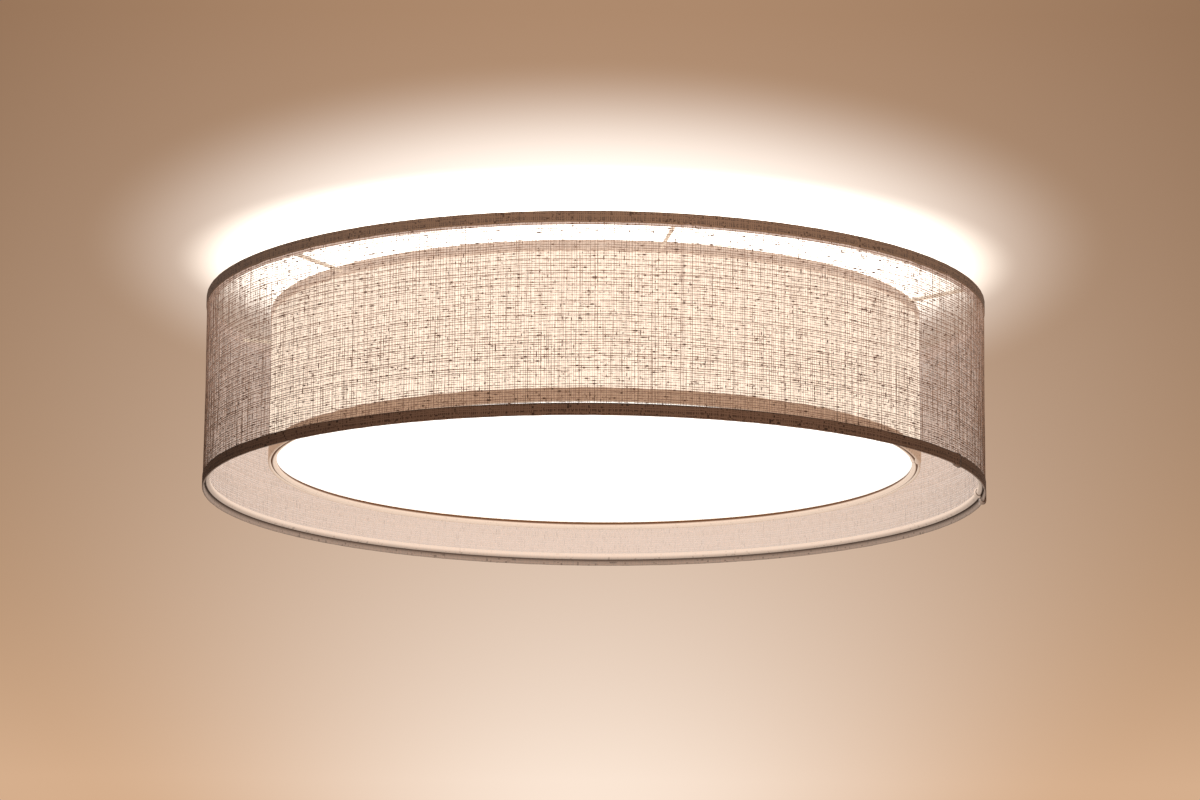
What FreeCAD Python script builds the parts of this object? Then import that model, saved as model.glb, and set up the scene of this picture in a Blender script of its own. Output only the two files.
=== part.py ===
import FreeCAD, Part
import math
import os
import re
import Sketcher

# A ceiling light that hangs close under a ceiling: two fabric drums, one inside the other, round three
# bulbs. Millimetres, +Z up. The origin is on the ceiling face, at the middle of the mounting bar, so the
# light hangs towards -Z. The side that faces a viewer in front is -Y.

SIZES = {
    # two drums of fabric
    "shade_gap": 28,  # ceiling to the outer drum's top edge
    "outer_radius": 300,
    "outer_height": 150,
    "inner_radius": 250,
    "inner_height": 120,
    "inner_drop": 9,  # outer drum's top edge to the inner drum's
    "fabric_wall": 0.5,
    "liner_wall": 0.4,
    "seam_width": 12,  # overlap where the fabric's two ends are glued
    "outer_seam_angle": 4,  # seams sit at the right, seen from the front
    "inner_seam_angle": -8,
    # hems rolled round the wire rings
    "hem_wall": 0.4,
    "hem_width": 8.6,
    "inner_hem_width": 10,  # the inner drum's bottom hem
    "glue_gap": 0.1,
    "ring_wire": 4,
    "outer_inset": 7.2,  # edge of the hem to the middle of the ring's wire
    "inner_top_inset": 4.7,
    "inner_bottom_inset": 2.9,
    # spider
    "rod_wire": 3,
    "rod_first_angle": 281,
    "rod_count": 6,
    "arm_count": 3,
    "notch_gap": 0.3,
    "weld_gap": 0.1,
    "hub_radius": 15,
    "hub_wall": 2,
    "arm_start": 8.5,
    # diffuser
    "disc_wall": 2,
    "disc_gap": 0.8,  # to the liner
    "rest_gap": 0.3,
    # ceiling bar and studs
    "bar_length": 104,
    "bar_width": 20,
    "bar_wall": 2,
    "slot_spacing": 44,
    "slot_length": 16,
    "slot_width": 5,
    "stud_spacing": 84,
    "stud_diameter": 4,
    "stud_length": 33,
    "thread_gap": 0.05,
    "stud_nut_flats": 7,
    "stud_nut_height": 3.2,
    "cap_nut_radius": 5.5,
    "cap_nut_height": 9,
    "cap_nut_wall": 1.5,
    # canopy
    "canopy_radius": 60,
    "canopy_depth": 26,
    "canopy_wall": 0.8,
    "canopy_corner": 4,
    "hole_gap": 0.2,
    # terminal block and earth
    "block_width": 20,
    "block_length": 18,
    "block_height": 13,
    "block_front": 20,  # the stem's axis to the block's near face
    "pole_pitch": 10,
    "pole_height": 6.5,
    "sleeve_radius": 2.3,
    "sleeve_wall": 0.5,
    "clamp_radius": 1.5,
    "clamp_inset": 4,
    "screw_head_radius": 3,
    "screw_head_height": 2,
    "block_screw_radius": 1.5,
    "earth_screw_radius": 2,
    "earth_across": -24,
    "earth_deep": -24,
    "earth_washer_radius": 5,
    "screw_tail": 3,
    # stem
    "stem_diameter": 10,
    "stem_bore": 8,
    "stem_nut_flats": 14,
    "stem_nut_height": 4,
    "washer_radius": 9,
    "washer_wall": 0.8,
    "thread_tail": 1.4,  # stem beyond its nut
    "bush_radius": 5,
    "bush_wall": 0.8,
    "bush_length": 6,
    "spacer_radius": 7,
    # lampholders
    "lamp_drop": 75,  # ceiling to the bulbs' axes
    "lamp_first_angle": 90,
    "lamp_count": 3,
    "plate_drop": 50,
    "plate_wall": 1.5,
    "plate_radius": 16,
    "tab_width": 24,
    "tab_reach": 33,  # stem's axis to the tab's inner face
    "tab_tail": 14,  # below the bulbs' axes
    "nipple_radius": 5,
    "nipple_bore": 4,
    "nipple_length": 5,
    "nipple_nut_height": 3,
    "holder_radius": 18,
    "holder_length": 20,
    "holder_wall": 1.8,
    "skirt_length": 28,
    "skirt_flare": 1.6,
    "shell_gap": 0.3,
    "insert_wall": 3.5,
    "sleeve_bore": 13.5,
    "sleeve_skin": 0.4,
    "sleeve_depth": 25.6,
    "contact_radius": 3.5,
    "contact_wall": 0.6,
    "contact_height": 2.7,
    # bulbs
    "cap_radius": 13.1,
    "cap_root": 12.5,
    "cap_length": 22,
    "cap_wall": 0.5,
    "thread_pitch": 3.6,
    "thread_turns": 5,
    "tip_radius": 9,
    "tip_length": 4,
    "neck_radius": 15,
    "neck_wall": 2,
    "housing_length": 50,
    "housing_curve": 75,
    "globe_radius": 30,
    "globe_wall": 1.2,
    "globe_lead": 5,  # the globe's middle past the housing's end
    # lead wires
    "lead_radius": 0.9,
    "lead_pitch": 2.5,
    "lead_bend": 12,
    "lead_rise": 13.7,
    "lead_crest": 16.7,
}

doc = FreeCAD.newDocument("ceiling_light")
sheet = doc.addObject("Spreadsheet::Sheet", "sizes")
for row, (alias, number) in enumerate(SIZES.items(), start=1):
    sheet.set(f"A{row}", alias)
    sheet.set(f"B{row}", str(number))
    sheet.setAlias(f"B{row}", alias)
doc.recompute()

V = FreeCAD.Vector
UP = V(0, 0, 1)
nodes = {}


def formula(text):
    """An expression in which each size's name points to its cell."""
    return re.sub(r"\b[a-z]+(?:_[a-z]+)+\b", r"sizes.\g<0>", text)


def value(text):
    """The number that a formula of sizes gives now."""
    return float(sheet.evalExpression(formula(text)))


def bind(target, name, text):
    """Ties a property to a formula of sizes."""
    target.setExpression(name, formula(text))


# ---- derived places, all formulas of the sizes above ----
OUTER_TOP = "(-shade_gap)"
OUTER_BOTTOM = "(-shade_gap - outer_height)"
INNER_TOP = "(-shade_gap - inner_drop)"
INNER_BOTTOM = "(-shade_gap - inner_drop - inner_height)"
ROLL = "(ring_wire / 2 + glue_gap + hem_wall)"
OUTER_LEG = "(outer_radius - fabric_wall - glue_gap)"
INNER_LEG = "(inner_radius - fabric_wall - liner_wall - 2 * glue_gap)"
OUTER_RING = f"({OUTER_LEG} - {ROLL})"
INNER_RING = f"({INNER_LEG} - {ROLL})"
OUTER_RING_UP = f"({OUTER_TOP} - outer_inset)"
INNER_RING_UP = f"({INNER_TOP} - inner_top_inset)"
CANOPY_FLOOR = "(canopy_wall - canopy_depth)"
POLE_UP = f"({CANOPY_FLOOR} + pole_height)"
STEM_TOP = f"({CANOPY_FLOOR} + washer_wall + stem_nut_height + thread_tail)"
HUB_TOP = f"({INNER_RING_UP} + rod_wire / 2 + weld_gap + hub_wall)"
PLATE_BOTTOM = "(-plate_drop - plate_wall)"
STEM_BOTTOM = f"({PLATE_BOTTOM} - washer_wall - stem_nut_height - thread_tail)"
TAB_FACE = "(tab_reach + plate_wall)"
HOLDER_END = f"({TAB_FACE} + holder_length)"
INSERT_BACK = f"({HOLDER_END} - insert_wall)"
SLEEVE_BACK = f"({HOLDER_END} + shell_gap)"
TIP_START = f"({HOLDER_END} + contact_height + shell_gap)"
CAP_START = f"({TIP_START} + tip_length)"
CAP_END = f"({CAP_START} + cap_length)"
HOUSING_END = f"({CAP_END} + housing_length)"


# ---- ways of making a piece ----
def sketch_on(body, role):
    """A sketch on one of the body's own origin planes."""
    plane = next(f for f in body.Origin.OriginFeatures if f.Role == role)
    sketch = body.newObject("Sketcher::SketchObject", f"{body.Name}_sketch")
    sketch.AttachmentSupport = (plane, [""])
    sketch.MapMode = "FlatFace"
    return sketch


def arc_between(start, end, radius, centre_left):
    """The short arc from start to end, with its centre to the left or right of the way it goes."""
    middle = (start + end) / 2
    along = (end - start) / 2
    side = V(-along.y, along.x, 0).normalize() * (1 if centre_left else -1)
    centre = middle + side * math.sqrt(max(radius**2 - along.Length**2, 0))
    ends = (start, end) if centre_left else (end, start)
    angles = [math.atan2(p.y - centre.y, p.x - centre.x) for p in ends]
    return Part.ArcOfCircle(Part.Circle(centre, UP, radius), *angles)


def hold_point(sketch, side, point, across, up):
    """Holds one point of a side at formulas measured from the sketch's origin."""
    for kind, axis, text in (("DistanceX", -2, across), ("DistanceY", -1, up)):
        if text == "0":
            sketch.addConstraint(Sketcher.Constraint("PointOnObject", side, point, axis))
        else:
            held = Sketcher.Constraint(kind, -1, 1, side, point, value(text))
            index = sketch.addConstraint(held)
            bind(sketch, f"Constraints[{index}]", text)


def outline(sketch, corners, arcs=None):
    """Draws a closed outline through corners, each a pair of formulas. arcs maps the number of a side to
    its (radius, whether the centre lies to the left of the way round)."""
    arcs = arcs or {}
    spots = [V(value(x), value(y), 0) for x, y in corners]
    begin, finish = {}, {}
    for number, start in enumerate(spots):
        end = spots[(number + 1) % len(spots)]
        if number in arcs:
            radius, left = arcs[number]
            side = sketch.addGeometry(arc_between(start, end, value(radius), left), False)
            begin[number], finish[number] = ((side, 1), (side, 2)) if left else ((side, 2), (side, 1))
        else:
            side = sketch.addGeometry(Part.LineSegment(start, end), False)
            begin[number], finish[number] = (side, 1), (side, 2)
    for number in range(len(spots)):
        follower = begin[(number + 1) % len(spots)]
        sketch.addConstraint(Sketcher.Constraint("Coincident", *finish[number], *follower))
    for number, (across, up) in enumerate(corners):
        hold_point(sketch, *begin[number], across, up)
    for number, (radius, _) in arcs.items():
        held = Sketcher.Constraint("Radius", begin[number][0], value(radius))
        bind(sketch, f"Constraints[{sketch.addConstraint(held)}]", radius)


def ring_of(sketch, across, up, radius):
    """Draws a circle at a pair of formulas."""
    centre = V(value(across), value(up), 0)
    side = sketch.addGeometry(Part.Circle(centre, UP, value(radius)), False)
    hold_point(sketch, side, 3, across, up)
    held = Sketcher.Constraint("Radius", side, value(radius))
    bind(sketch, f"Constraints[{sketch.addConstraint(held)}]", radius)


def revolve(body, sketch, axis="V_Axis"):
    """Turns a sketch all the way round one of its axes."""
    turn = body.newObject("PartDesign::Revolution", f"{body.Name}_turn")
    turn.Profile = sketch
    turn.ReferenceAxis = (sketch, [axis])
    turn.Angle = 360
    body.Tip = turn
    return turn


def turned(name, corners, arcs=None, axis="V_Axis"):
    """A body turned from one closed outline, in the plane of X and Z."""
    body = doc.addObject("PartDesign::Body", name)
    sketch = sketch_on(body, "XZ_Plane")
    outline(sketch, corners, arcs)
    revolve(body, sketch, axis)
    return body


def pad(body, sketch, length, towards_sketch=False):
    """Thickens a sketch along its normal, or against it."""
    feature = body.newObject("PartDesign::Pad", f"{body.Name}_pad")
    feature.Profile = sketch
    bind(feature, "Length", length)
    feature.Reversed = towards_sketch
    body.Tip = feature
    return feature


def pocket(body, sketch):
    """Cuts a sketch through the whole body, both ways."""
    feature = body.newObject("PartDesign::Pocket", f"{body.Name}_pocket")
    feature.Profile = sketch
    feature.Type = "ThroughAll"
    feature.Midplane = True
    body.Tip = feature
    return feature


def rod(name, radius, length):
    """A plain round bar that stands on its own origin."""
    bar = doc.addObject("Part::Cylinder", name)
    bind(bar, "Radius", radius)
    bind(bar, "Height", length)
    return bar


def cut(name, base, tool):
    """The base with the tool taken away."""
    feature = doc.addObject("Part::Cut", name)
    feature.Base = base
    feature.Tool = tool
    return feature


def group(name, pieces):
    """Like pieces kept together, each a solid of its own."""
    feature = doc.addObject("Part::Compound", name)
    feature.Links = pieces
    return feature


def tube(name, radius, bore, length):
    """A straight tube, washer or spacer that stands on its own origin."""
    return cut(name, rod(f"{name}_outside", radius, length), rod(f"{name}_bore", bore, length))


def hex_nut(name, flats, bore, height):
    """A hexagon nut that stands on its own origin."""
    prism = doc.addObject("Part::Prism", f"{name}_hexagon")
    prism.Polygon = 6
    bind(prism, "Circumradius", f"{flats} / 2 / cos(30 deg)")
    bind(prism, "Height", height)
    return cut(name, prism, rod(f"{name}_bore", bore, height))


def place(piece, across="0", deep="0", up="0", turn=0.0):
    """Turns a piece about the vertical by degrees and puts it at three formulas."""
    piece.Placement = FreeCAD.Placement(V(0, 0, 0), FreeCAD.Rotation(UP, turn))
    for axis, text in (("x", across), ("y", deep), ("z", up)):
        if text != "0":
            bind(piece, f"Placement.Base.{axis}", text)
    return piece


def aim(piece, start, end):
    """Puts a piece's origin at one point, with its own +Z towards another."""
    piece.Placement = FreeCAD.Placement(start, FreeCAD.Rotation(UP, end - start))
    return piece


def outward(angle, reach, up):
    """The point at a distance from the middle axis, at an angle and a height."""
    turn = math.radians(angle)
    return V(reach * math.cos(turn), reach * math.sin(turn), up)


def keep(name, piece):
    """Names a finished piece, which then has a file of its own."""
    piece.Label = name
    nodes[name] = piece
    return piece


def round_angles(first, count):
    """Angles evenly spaced round the middle axis."""
    return [value(first) + 360 / value(count) * step for step in range(round(value(count)))]


# ---- ceiling fixing ----
def mounting_bar():
    """Strap with a slot each side for the ceiling screws and a tapped hole at each end."""
    body = doc.addObject("PartDesign::Body", "mounting_bar")
    plan = sketch_on(body, "XY_Plane")
    far, side = "bar_length / 2", "bar_width / 2"
    outline(plan, [(f"-{far}", f"-{side}"), (far, f"-{side}"), (far, side), (f"-{far}", side)])
    for hand in ("-", ""):
        near_end = f"{hand}slot_spacing / 2 - slot_length / 2 + slot_width / 2"
        far_end = f"{hand}slot_spacing / 2 + slot_length / 2 - slot_width / 2"
        low, high = "-slot_width / 2", "slot_width / 2"
        slot = [(near_end, low), (far_end, low), (far_end, high), (near_end, high)]
        half_round = ("slot_width / 2 + 0.0001", True)
        outline(plan, slot, {1: half_round, 3: half_round})
        ring_of(plan, f"{hand}stud_spacing / 2", "0", "stud_diameter / 2 + thread_gap")
    pad(body, plan, "bar_wall", towards_sketch=True)
    keep("mounting_bar", body)


def studs():
    """Two studs under the bar, each with its lock nut and the cap nut that carries the canopy."""
    bars, locks = [], []
    for number, hand in enumerate(("-", ""), start=1):
        across = f"{hand}stud_spacing / 2"
        stud = rod(f"stud_{number}", "stud_diameter / 2", "stud_length")
        bars.append(place(stud, across, up="-stud_length - glue_gap"))
        lock = hex_nut(
            f"stud_nut_{number}", "stud_nut_flats", "stud_diameter / 2 + thread_gap", "stud_nut_height"
        )
        locks.append(place(lock, across, up="-bar_wall - stud_nut_height"))
        bore, rim = "stud_diameter / 2 + thread_gap", "cap_nut_radius"
        blind = "cap_nut_wall - cap_nut_height"
        shape = [
            (bore, "0"),
            (rim, "0"),
            (rim, "-cap_nut_height / 2"),
            ("0", "-cap_nut_height"),
            ("0", blind),
            (bore, blind),
        ]
        cap = turned(f"cap_nut_{number}", shape, {2: ("cap_nut_radius * 1.1", False)})
        keep(f"cap_nut_{number}", place(cap, across, up="-canopy_depth - rest_gap"))
    keep("canopy_studs", group("canopy_studs", bars))
    keep("stud_nuts", group("stud_nuts", locks))


def canopy():
    """Round pan, open towards the ceiling, with holes for the stem, studs and screws in its floor."""
    rim, depth, wall = "canopy_radius", "canopy_depth", "canopy_wall"
    corner, inside = "canopy_corner", "(canopy_corner - canopy_wall)"
    shape = [
        ("0", f"-{depth}"),
        (f"{rim} - {corner}", f"-{depth}"),
        (rim, f"{corner} - {depth}"),
        (rim, "0"),
        (f"{rim} - {wall}", "0"),
        (f"{rim} - {wall}", f"{corner} - {depth}"),
        (f"{rim} - {corner}", f"{wall} - {depth}"),
        ("0", f"{wall} - {depth}"),
    ]
    body = turned("canopy", shape, {1: (corner, True), 5: (inside, False)})
    holes = sketch_on(body, "XY_Plane")
    ring_of(holes, "0", "0", "stem_diameter / 2 + hole_gap")
    for hand in ("-", ""):
        ring_of(holes, f"{hand}stud_spacing / 2", "0", "stud_diameter / 2 + hole_gap")
    ring_of(holes, "0", "block_front + block_length / 2", "block_screw_radius + thread_gap")
    ring_of(holes, "earth_across", "earth_deep", "earth_screw_radius + thread_gap")
    pocket(body, holes)
    keep("canopy", body)


def pan_screw(name, radius, length):
    """Screw with a flat round head; its origin is under the head."""
    head, top = "screw_head_radius", "screw_head_height"
    shank = [("0", f"-{length}"), (radius, f"-{length}"), (radius, "0")]
    shape = shank + [(head, "0"), (head, top), ("0", top)]
    return turned(name, shape)


def terminal_block():
    """Two-pole block on the canopy floor, with brass sleeves, clamping screws and its fixing screw."""
    body = doc.addObject("PartDesign::Body", "terminal_block")
    front = sketch_on(body, "XZ_Plane")
    side = "block_width / 2"
    outline(front, [(f"-{side}", "0"), (side, "0"), (side, "block_height"), (f"-{side}", "block_height")])
    for hand in ("-", ""):
        ring_of(front, f"{hand}pole_pitch / 2", "pole_height", "sleeve_radius + thread_gap")
    pad(body, front, "block_length", towards_sketch=True)
    wells = sketch_on(body, "XY_Plane")
    ring_of(wells, "0", "block_length / 2", "block_screw_radius + thread_gap")
    pocket(body, wells)
    for hand in ("-", ""):
        for deep in ("clamp_inset", "block_length - clamp_inset"):
            well = sketch_on(body, "XY_Plane")
            ring_of(well, f"{hand}pole_pitch / 2", deep, "clamp_radius + thread_gap")
            bind(well, "AttachmentOffset.Base.z", "pole_height")
            hole = pocket(body, well)
            hole.Midplane = False
            hole.Reversed = True
    keep("terminal_block", place(body, deep="block_front", up=CANOPY_FLOOR))

    sleeves, clamps = [], []
    for number, hand in enumerate(("-", ""), start=1):
        sleeve = tube(f"pole_{number}", "sleeve_radius", "sleeve_radius - sleeve_wall", "block_length")
        sleeves.append(sleeve)
        spot = V(value(f"{hand}pole_pitch / 2"), value("block_front"), value(POLE_UP))
        aim(sleeve, spot, spot + V(0, 1, 0))
        for place_in_row, deep in enumerate(("clamp_inset", "block_length - clamp_inset"), start=1):
            foot = "(pole_height + sleeve_radius + thread_gap)"
            height = f"block_height - {foot} - thread_gap"
            clamp = rod(f"clamp_{number}_{place_in_row}", "clamp_radius", height)
            place(clamp, f"{hand}pole_pitch / 2", f"block_front + {deep}", f"{CANOPY_FLOOR} + {foot}")
            clamps.append(clamp)
    keep("terminal_sleeves", group("terminal_sleeves", sleeves))
    keep("terminal_screws", group("terminal_screws", clamps))

    fixing = pan_screw("block_screw", "block_screw_radius", "(block_height + canopy_wall + screw_tail)")
    across_block = "block_front + block_length / 2"
    keep("block_screw", place(fixing, deep=across_block, up=f"{CANOPY_FLOOR} + block_height + thread_gap"))


def earth_terminal():
    """Screw and cup washer that hold the earth wire to the canopy."""
    washer = tube("earth_washer", "earth_washer_radius", "earth_screw_radius + hole_gap", "washer_wall")
    keep("earth_washer", place(washer, "earth_across", "earth_deep", f"{CANOPY_FLOOR} + glue_gap"))
    screw = pan_screw("earth_screw", "earth_screw_radius", "(washer_wall + canopy_wall + screw_tail)")
    seat = f"{CANOPY_FLOOR} + washer_wall + 2 * glue_gap"
    keep("earth_screw", place(screw, "earth_across", "earth_deep", seat))


# ---- stem ----
def stem():
    """Threaded tube that clamps canopy, spider hub and bracket between two nuts, with spacers between."""
    bore = "stem_diameter / 2 + thread_gap"
    tube_length = f"{STEM_TOP} - {STEM_BOTTOM}"
    stem_tube = tube("stem_tube", "stem_diameter / 2", "stem_bore / 2", tube_length)
    keep("stem_tube", place(stem_tube, up=STEM_BOTTOM))

    upper_nut = hex_nut("upper_nut", "stem_nut_flats", bore, "stem_nut_height")
    lower_nut = hex_nut("lower_nut", "stem_nut_flats", bore, "stem_nut_height")
    place(upper_nut, up=f"{CANOPY_FLOOR} + washer_wall")
    place(lower_nut, up=f"{STEM_BOTTOM} + thread_tail")
    keep("stem_nuts", group("stem_nuts", [upper_nut, lower_nut]))

    upper_washer = tube("upper_washer", "washer_radius", bore, "washer_wall")
    lower_washer = tube("lower_washer", "washer_radius", bore, "washer_wall")
    place(upper_washer, up=CANOPY_FLOOR)
    place(lower_washer, up=f"{PLATE_BOTTOM} - washer_wall")
    keep("stem_washers", group("stem_washers", [upper_washer, lower_washer]))

    upper_spacer = tube("upper_spacer", "spacer_radius", bore, f"-canopy_depth - {HUB_TOP}")
    lower_spacer = tube("lower_spacer", "spacer_radius", bore, f"{HUB_TOP} - hub_wall + plate_drop")
    place(upper_spacer, up=HUB_TOP)
    place(lower_spacer, up="-plate_drop")
    keep("stem_spacers", group("stem_spacers", [upper_spacer, lower_spacer]))

    # Plastic bush: a collar outside the tube's end and a sleeve inside it, so that no edge meets a wire.
    plug = "stem_bore / 2 - thread_gap"
    shape = [
        (f"{plug} - bush_wall", "bush_wall"),
        (f"{plug} - bush_wall", "bush_wall - bush_length"),
        (plug, "bush_wall - bush_length"),
        (plug, "0"),
        ("bush_radius", "0"),
        ("bush_radius", "bush_wall"),
    ]
    upper_bush = place(turned("upper_bush", shape), up=STEM_TOP)
    lower_bush = turned("lower_bush", shape)
    aim(lower_bush, V(0, 0, value(STEM_BOTTOM)), V(0, 0, value(STEM_BOTTOM) - 1))
    bind(lower_bush, "Placement.Base.z", STEM_BOTTOM)
    keep("stem_bushes", group("stem_bushes", [upper_bush, lower_bush]))


# ---- lampholders ----
def holder_bracket():
    """Star plate with an arm for each lampholder, its end bent down into a tab with a hole."""
    body = doc.addObject("PartDesign::Body", "holder_bracket")
    disc = sketch_on(body, "XY_Plane")
    ring_of(disc, "0", "0", "plate_radius")
    pad(body, disc, "plate_wall", towards_sketch=True)
    side = "tab_width / 2"
    arm_plan = sketch_on(body, "XY_Plane")
    outline(arm_plan, [("0", f"-{side}"), (TAB_FACE, f"-{side}"), (TAB_FACE, side), ("0", side)])
    arm = pad(body, arm_plan, "plate_wall", towards_sketch=True)
    tab_plan = sketch_on(body, "XY_Plane")
    tab_corners = [("tab_reach", f"-{side}"), (TAB_FACE, f"-{side}"), (TAB_FACE, side), ("tab_reach", side)]
    outline(tab_plan, tab_corners)
    tab = pad(body, tab_plan, "lamp_drop - plate_drop + tab_tail", towards_sketch=True)
    star = body.newObject("PartDesign::PolarPattern", "holder_bracket_star")
    star.Originals = [arm, tab]
    star.Axis = (disc, ["N_Axis"])
    star.Angle = 360
    bind(star, "Occurrences", "lamp_count")
    body.Tip = star
    middle = sketch_on(body, "XY_Plane")
    ring_of(middle, "0", "0", "stem_diameter / 2 + hole_gap")
    pocket(body, middle)
    place(body, up="-plate_drop", turn=value("lamp_first_angle"))
    holes = []
    for number, angle in enumerate(round_angles("lamp_first_angle", "lamp_count"), start=1):
        level = value("-lamp_drop")
        hole = rod(f"tab_hole_{number}", "nipple_radius + hole_gap", "3 * plate_wall")
        start = outward(angle, value("tab_reach - plate_wall"), level)
        holes.append(aim(hole, start, outward(angle, value(TAB_FACE), level)))
    keep("holder_bracket", cut("holder_bracket_drilled", body, group("tab_holes", holes)))


def lampholder(number, angle):
    """Rear cap with its threaded nipple, front skirt and threaded sleeve, along +X, then turned."""
    wall, rim = "holder_wall", "holder_radius"
    start = f"({TAB_FACE} + glue_gap)"
    nipple_end = "tab_reach - nipple_length"
    shoulder = f"{start} + holder_length / 3"
    cap_shape = [
        (nipple_end, "nipple_bore"),
        (nipple_end, "nipple_radius"),
        (start, "nipple_radius"),
        (start, "nipple_radius + 2 * holder_wall"),
        (shoulder, f"{rim} - {wall} / 2"),
        (HOLDER_END, rim),
        (HOLDER_END, f"{rim} - {wall}"),
        (shoulder, f"{rim} - 1.5 * {wall}"),
        (f"{start} + {wall}", "nipple_radius + holder_wall"),
        (f"{start} + {wall}", "nipple_bore"),
    ]
    curve = "holder_radius * 0.8"
    cap = turned(f"holder_cap_{number}", cap_shape, {3: (curve, False), 7: (curve, True)}, "H_Axis")

    skirt_start = f"({HOLDER_END} + shell_gap)"
    skirt_end = f"({skirt_start} + skirt_length)"
    seat = "(sleeve_bore + sleeve_skin + shell_gap)"
    skirt_shape = [
        (skirt_start, f"{rim} - {wall}"),
        (skirt_start, rim),
        (f"{skirt_end} - {wall}", f"{rim} + skirt_flare / 2"),
        (f"{skirt_end} - {wall}", f"{rim} + skirt_flare"),
        (skirt_end, f"{rim} + skirt_flare"),
        (skirt_end, seat),
        (f"{skirt_start} + {wall}", seat),
        (f"{skirt_start} + {wall}", f"{rim} - {wall}"),
    ]
    skirt = turned(f"holder_skirt_{number}", skirt_shape, axis="H_Axis")

    bore, outside = "sleeve_bore", "(sleeve_bore + sleeve_skin)"
    sleeve_end = f"{SLEEVE_BACK} + sleeve_depth"
    flange = "contact_radius + 3"
    sleeve_shape = [
        (SLEEVE_BACK, flange),
        (SLEEVE_BACK, outside),
        (sleeve_end, outside),
        (sleeve_end, bore),
        (f"{SLEEVE_BACK} + sleeve_skin", bore),
        (f"{SLEEVE_BACK} + sleeve_skin", flange),
    ]
    sleeve = turned(f"thread_sleeve_{number}", sleeve_shape, axis="H_Axis")
    for name, piece in (("holder_cap", cap), ("holder_skirt", skirt), ("thread_sleeve", sleeve)):
        keep(f"{name}_{number}", place(piece, up="-lamp_drop", turn=angle))


def holder_insides():
    """Ceramic insert, centre contact and ring nut of every lampholder."""
    inserts, contacts, nuts = [], [], []
    for number, angle in enumerate(round_angles("lamp_first_angle", "lamp_count"), start=1):
        rim = "holder_radius - holder_wall - shell_gap"
        insert_shape = [(INSERT_BACK, "0"), (INSERT_BACK, rim), (HOLDER_END, rim), (HOLDER_END, "0")]
        inserts.append(turned(f"insert_{number}", insert_shape, axis="H_Axis"))
        back, front = f"({HOLDER_END} + glue_gap)", f"({HOLDER_END} + contact_height)"
        contact_shape = [
            (back, "0"),
            (back, "contact_radius / 2"),
            (f"{front} - contact_wall", "contact_radius / 2"),
            (f"{front} - contact_wall", "contact_radius"),
            (front, "contact_radius"),
            (front, "0"),
        ]
        contacts.append(turned(f"contact_{number}", contact_shape, axis="H_Axis"))
        for piece in (inserts[-1], contacts[-1]):
            place(piece, up="-lamp_drop", turn=angle)
        nut = hex_nut(
            f"nipple_nut_{number}", "stem_nut_flats", "nipple_radius + thread_gap", "nipple_nut_height"
        )
        level = value("-lamp_drop")
        seat = outward(angle, value("tab_reach"), level)
        nuts.append(aim(nut, seat, outward(angle, 0, level)))
    keep("holder_inserts", group("holder_inserts", inserts))
    keep("centre_contacts", group("centre_contacts", contacts))
    keep("holder_nuts", group("holder_nuts", nuts))


# ---- bulbs ----
def bulb(number, angle):
    """Screw cap with its tip, flared housing and opal globe, along +X, then turned."""
    tip_shape = [
        (TIP_START, "0"),
        (TIP_START, "contact_radius * 0.7"),
        (CAP_START, "tip_radius"),
        (CAP_START, "0"),
    ]
    tip = turned(f"bulb_tip_{number}", tip_shape, axis="H_Axis")

    seam = f"({CAP_START} + glue_gap)"
    thread = f"({seam} + cap_wall * 4)"
    cap_shape = [(seam, "tip_radius"), (thread, "cap_root")]
    for turn in range(round(value("thread_turns"))):
        crest = f"{thread} + ({turn} + 0.5) * thread_pitch"
        root = f"{thread} + {turn + 1} * thread_pitch"
        cap_shape += [(crest, "cap_radius"), (root, "cap_root")]
    inside = "cap_root - cap_wall"
    cap_shape += [(CAP_END, "cap_root"), (CAP_END, inside), (thread, inside), (seam, "tip_radius - cap_wall")]
    cap = turned(f"bulb_cap_{number}", cap_shape, axis="H_Axis")

    collar = f"({CAP_END} + glue_gap)"
    plug = "cap_root - cap_wall - glue_gap"
    wide = "(globe_radius * 0.985)"
    housing_shape = [
        (f"{CAP_END} - cap_length / 3", f"{plug} - neck_wall"),
        (f"{CAP_END} - cap_length / 3", plug),
        (collar, plug),
        (collar, "neck_radius"),
        (HOUSING_END, wide),
        (HOUSING_END, f"{wide} - neck_wall"),
        (f"{collar} + neck_wall", "neck_radius - neck_wall"),
        (collar, f"{plug} - neck_wall"),
    ]
    curves = {3: ("housing_curve", False), 5: ("housing_curve - neck_wall", True)}
    housing = turned(f"bulb_housing_{number}", housing_shape, curves, "H_Axis")

    lip = f"({HOUSING_END} + glue_gap)"
    centre = f"({lip} + globe_lead)"
    skin = "(globe_radius - globe_wall)"
    globe_shape = [
        (lip, "sqrt(globe_radius ^ 2 - globe_lead ^ 2)"),
        (centre, "globe_radius"),
        (f"{centre} + globe_radius", "0"),
        (f"{centre} + {skin}", "0"),
        (centre, skin),
        (lip, f"sqrt({skin} ^ 2 - globe_lead ^ 2)"),
    ]
    dome, hollow = ("globe_radius", False), (skin, True)
    globe = turned(f"bulb_globe_{number}", globe_shape, {0: dome, 1: dome, 3: hollow, 4: hollow}, "H_Axis")
    for name, piece in (("tip", tip), ("cap", cap), ("housing", housing), ("globe", globe)):
        keep(f"bulb_{name}_{number}", place(piece, up="-lamp_drop", turn=angle))


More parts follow.
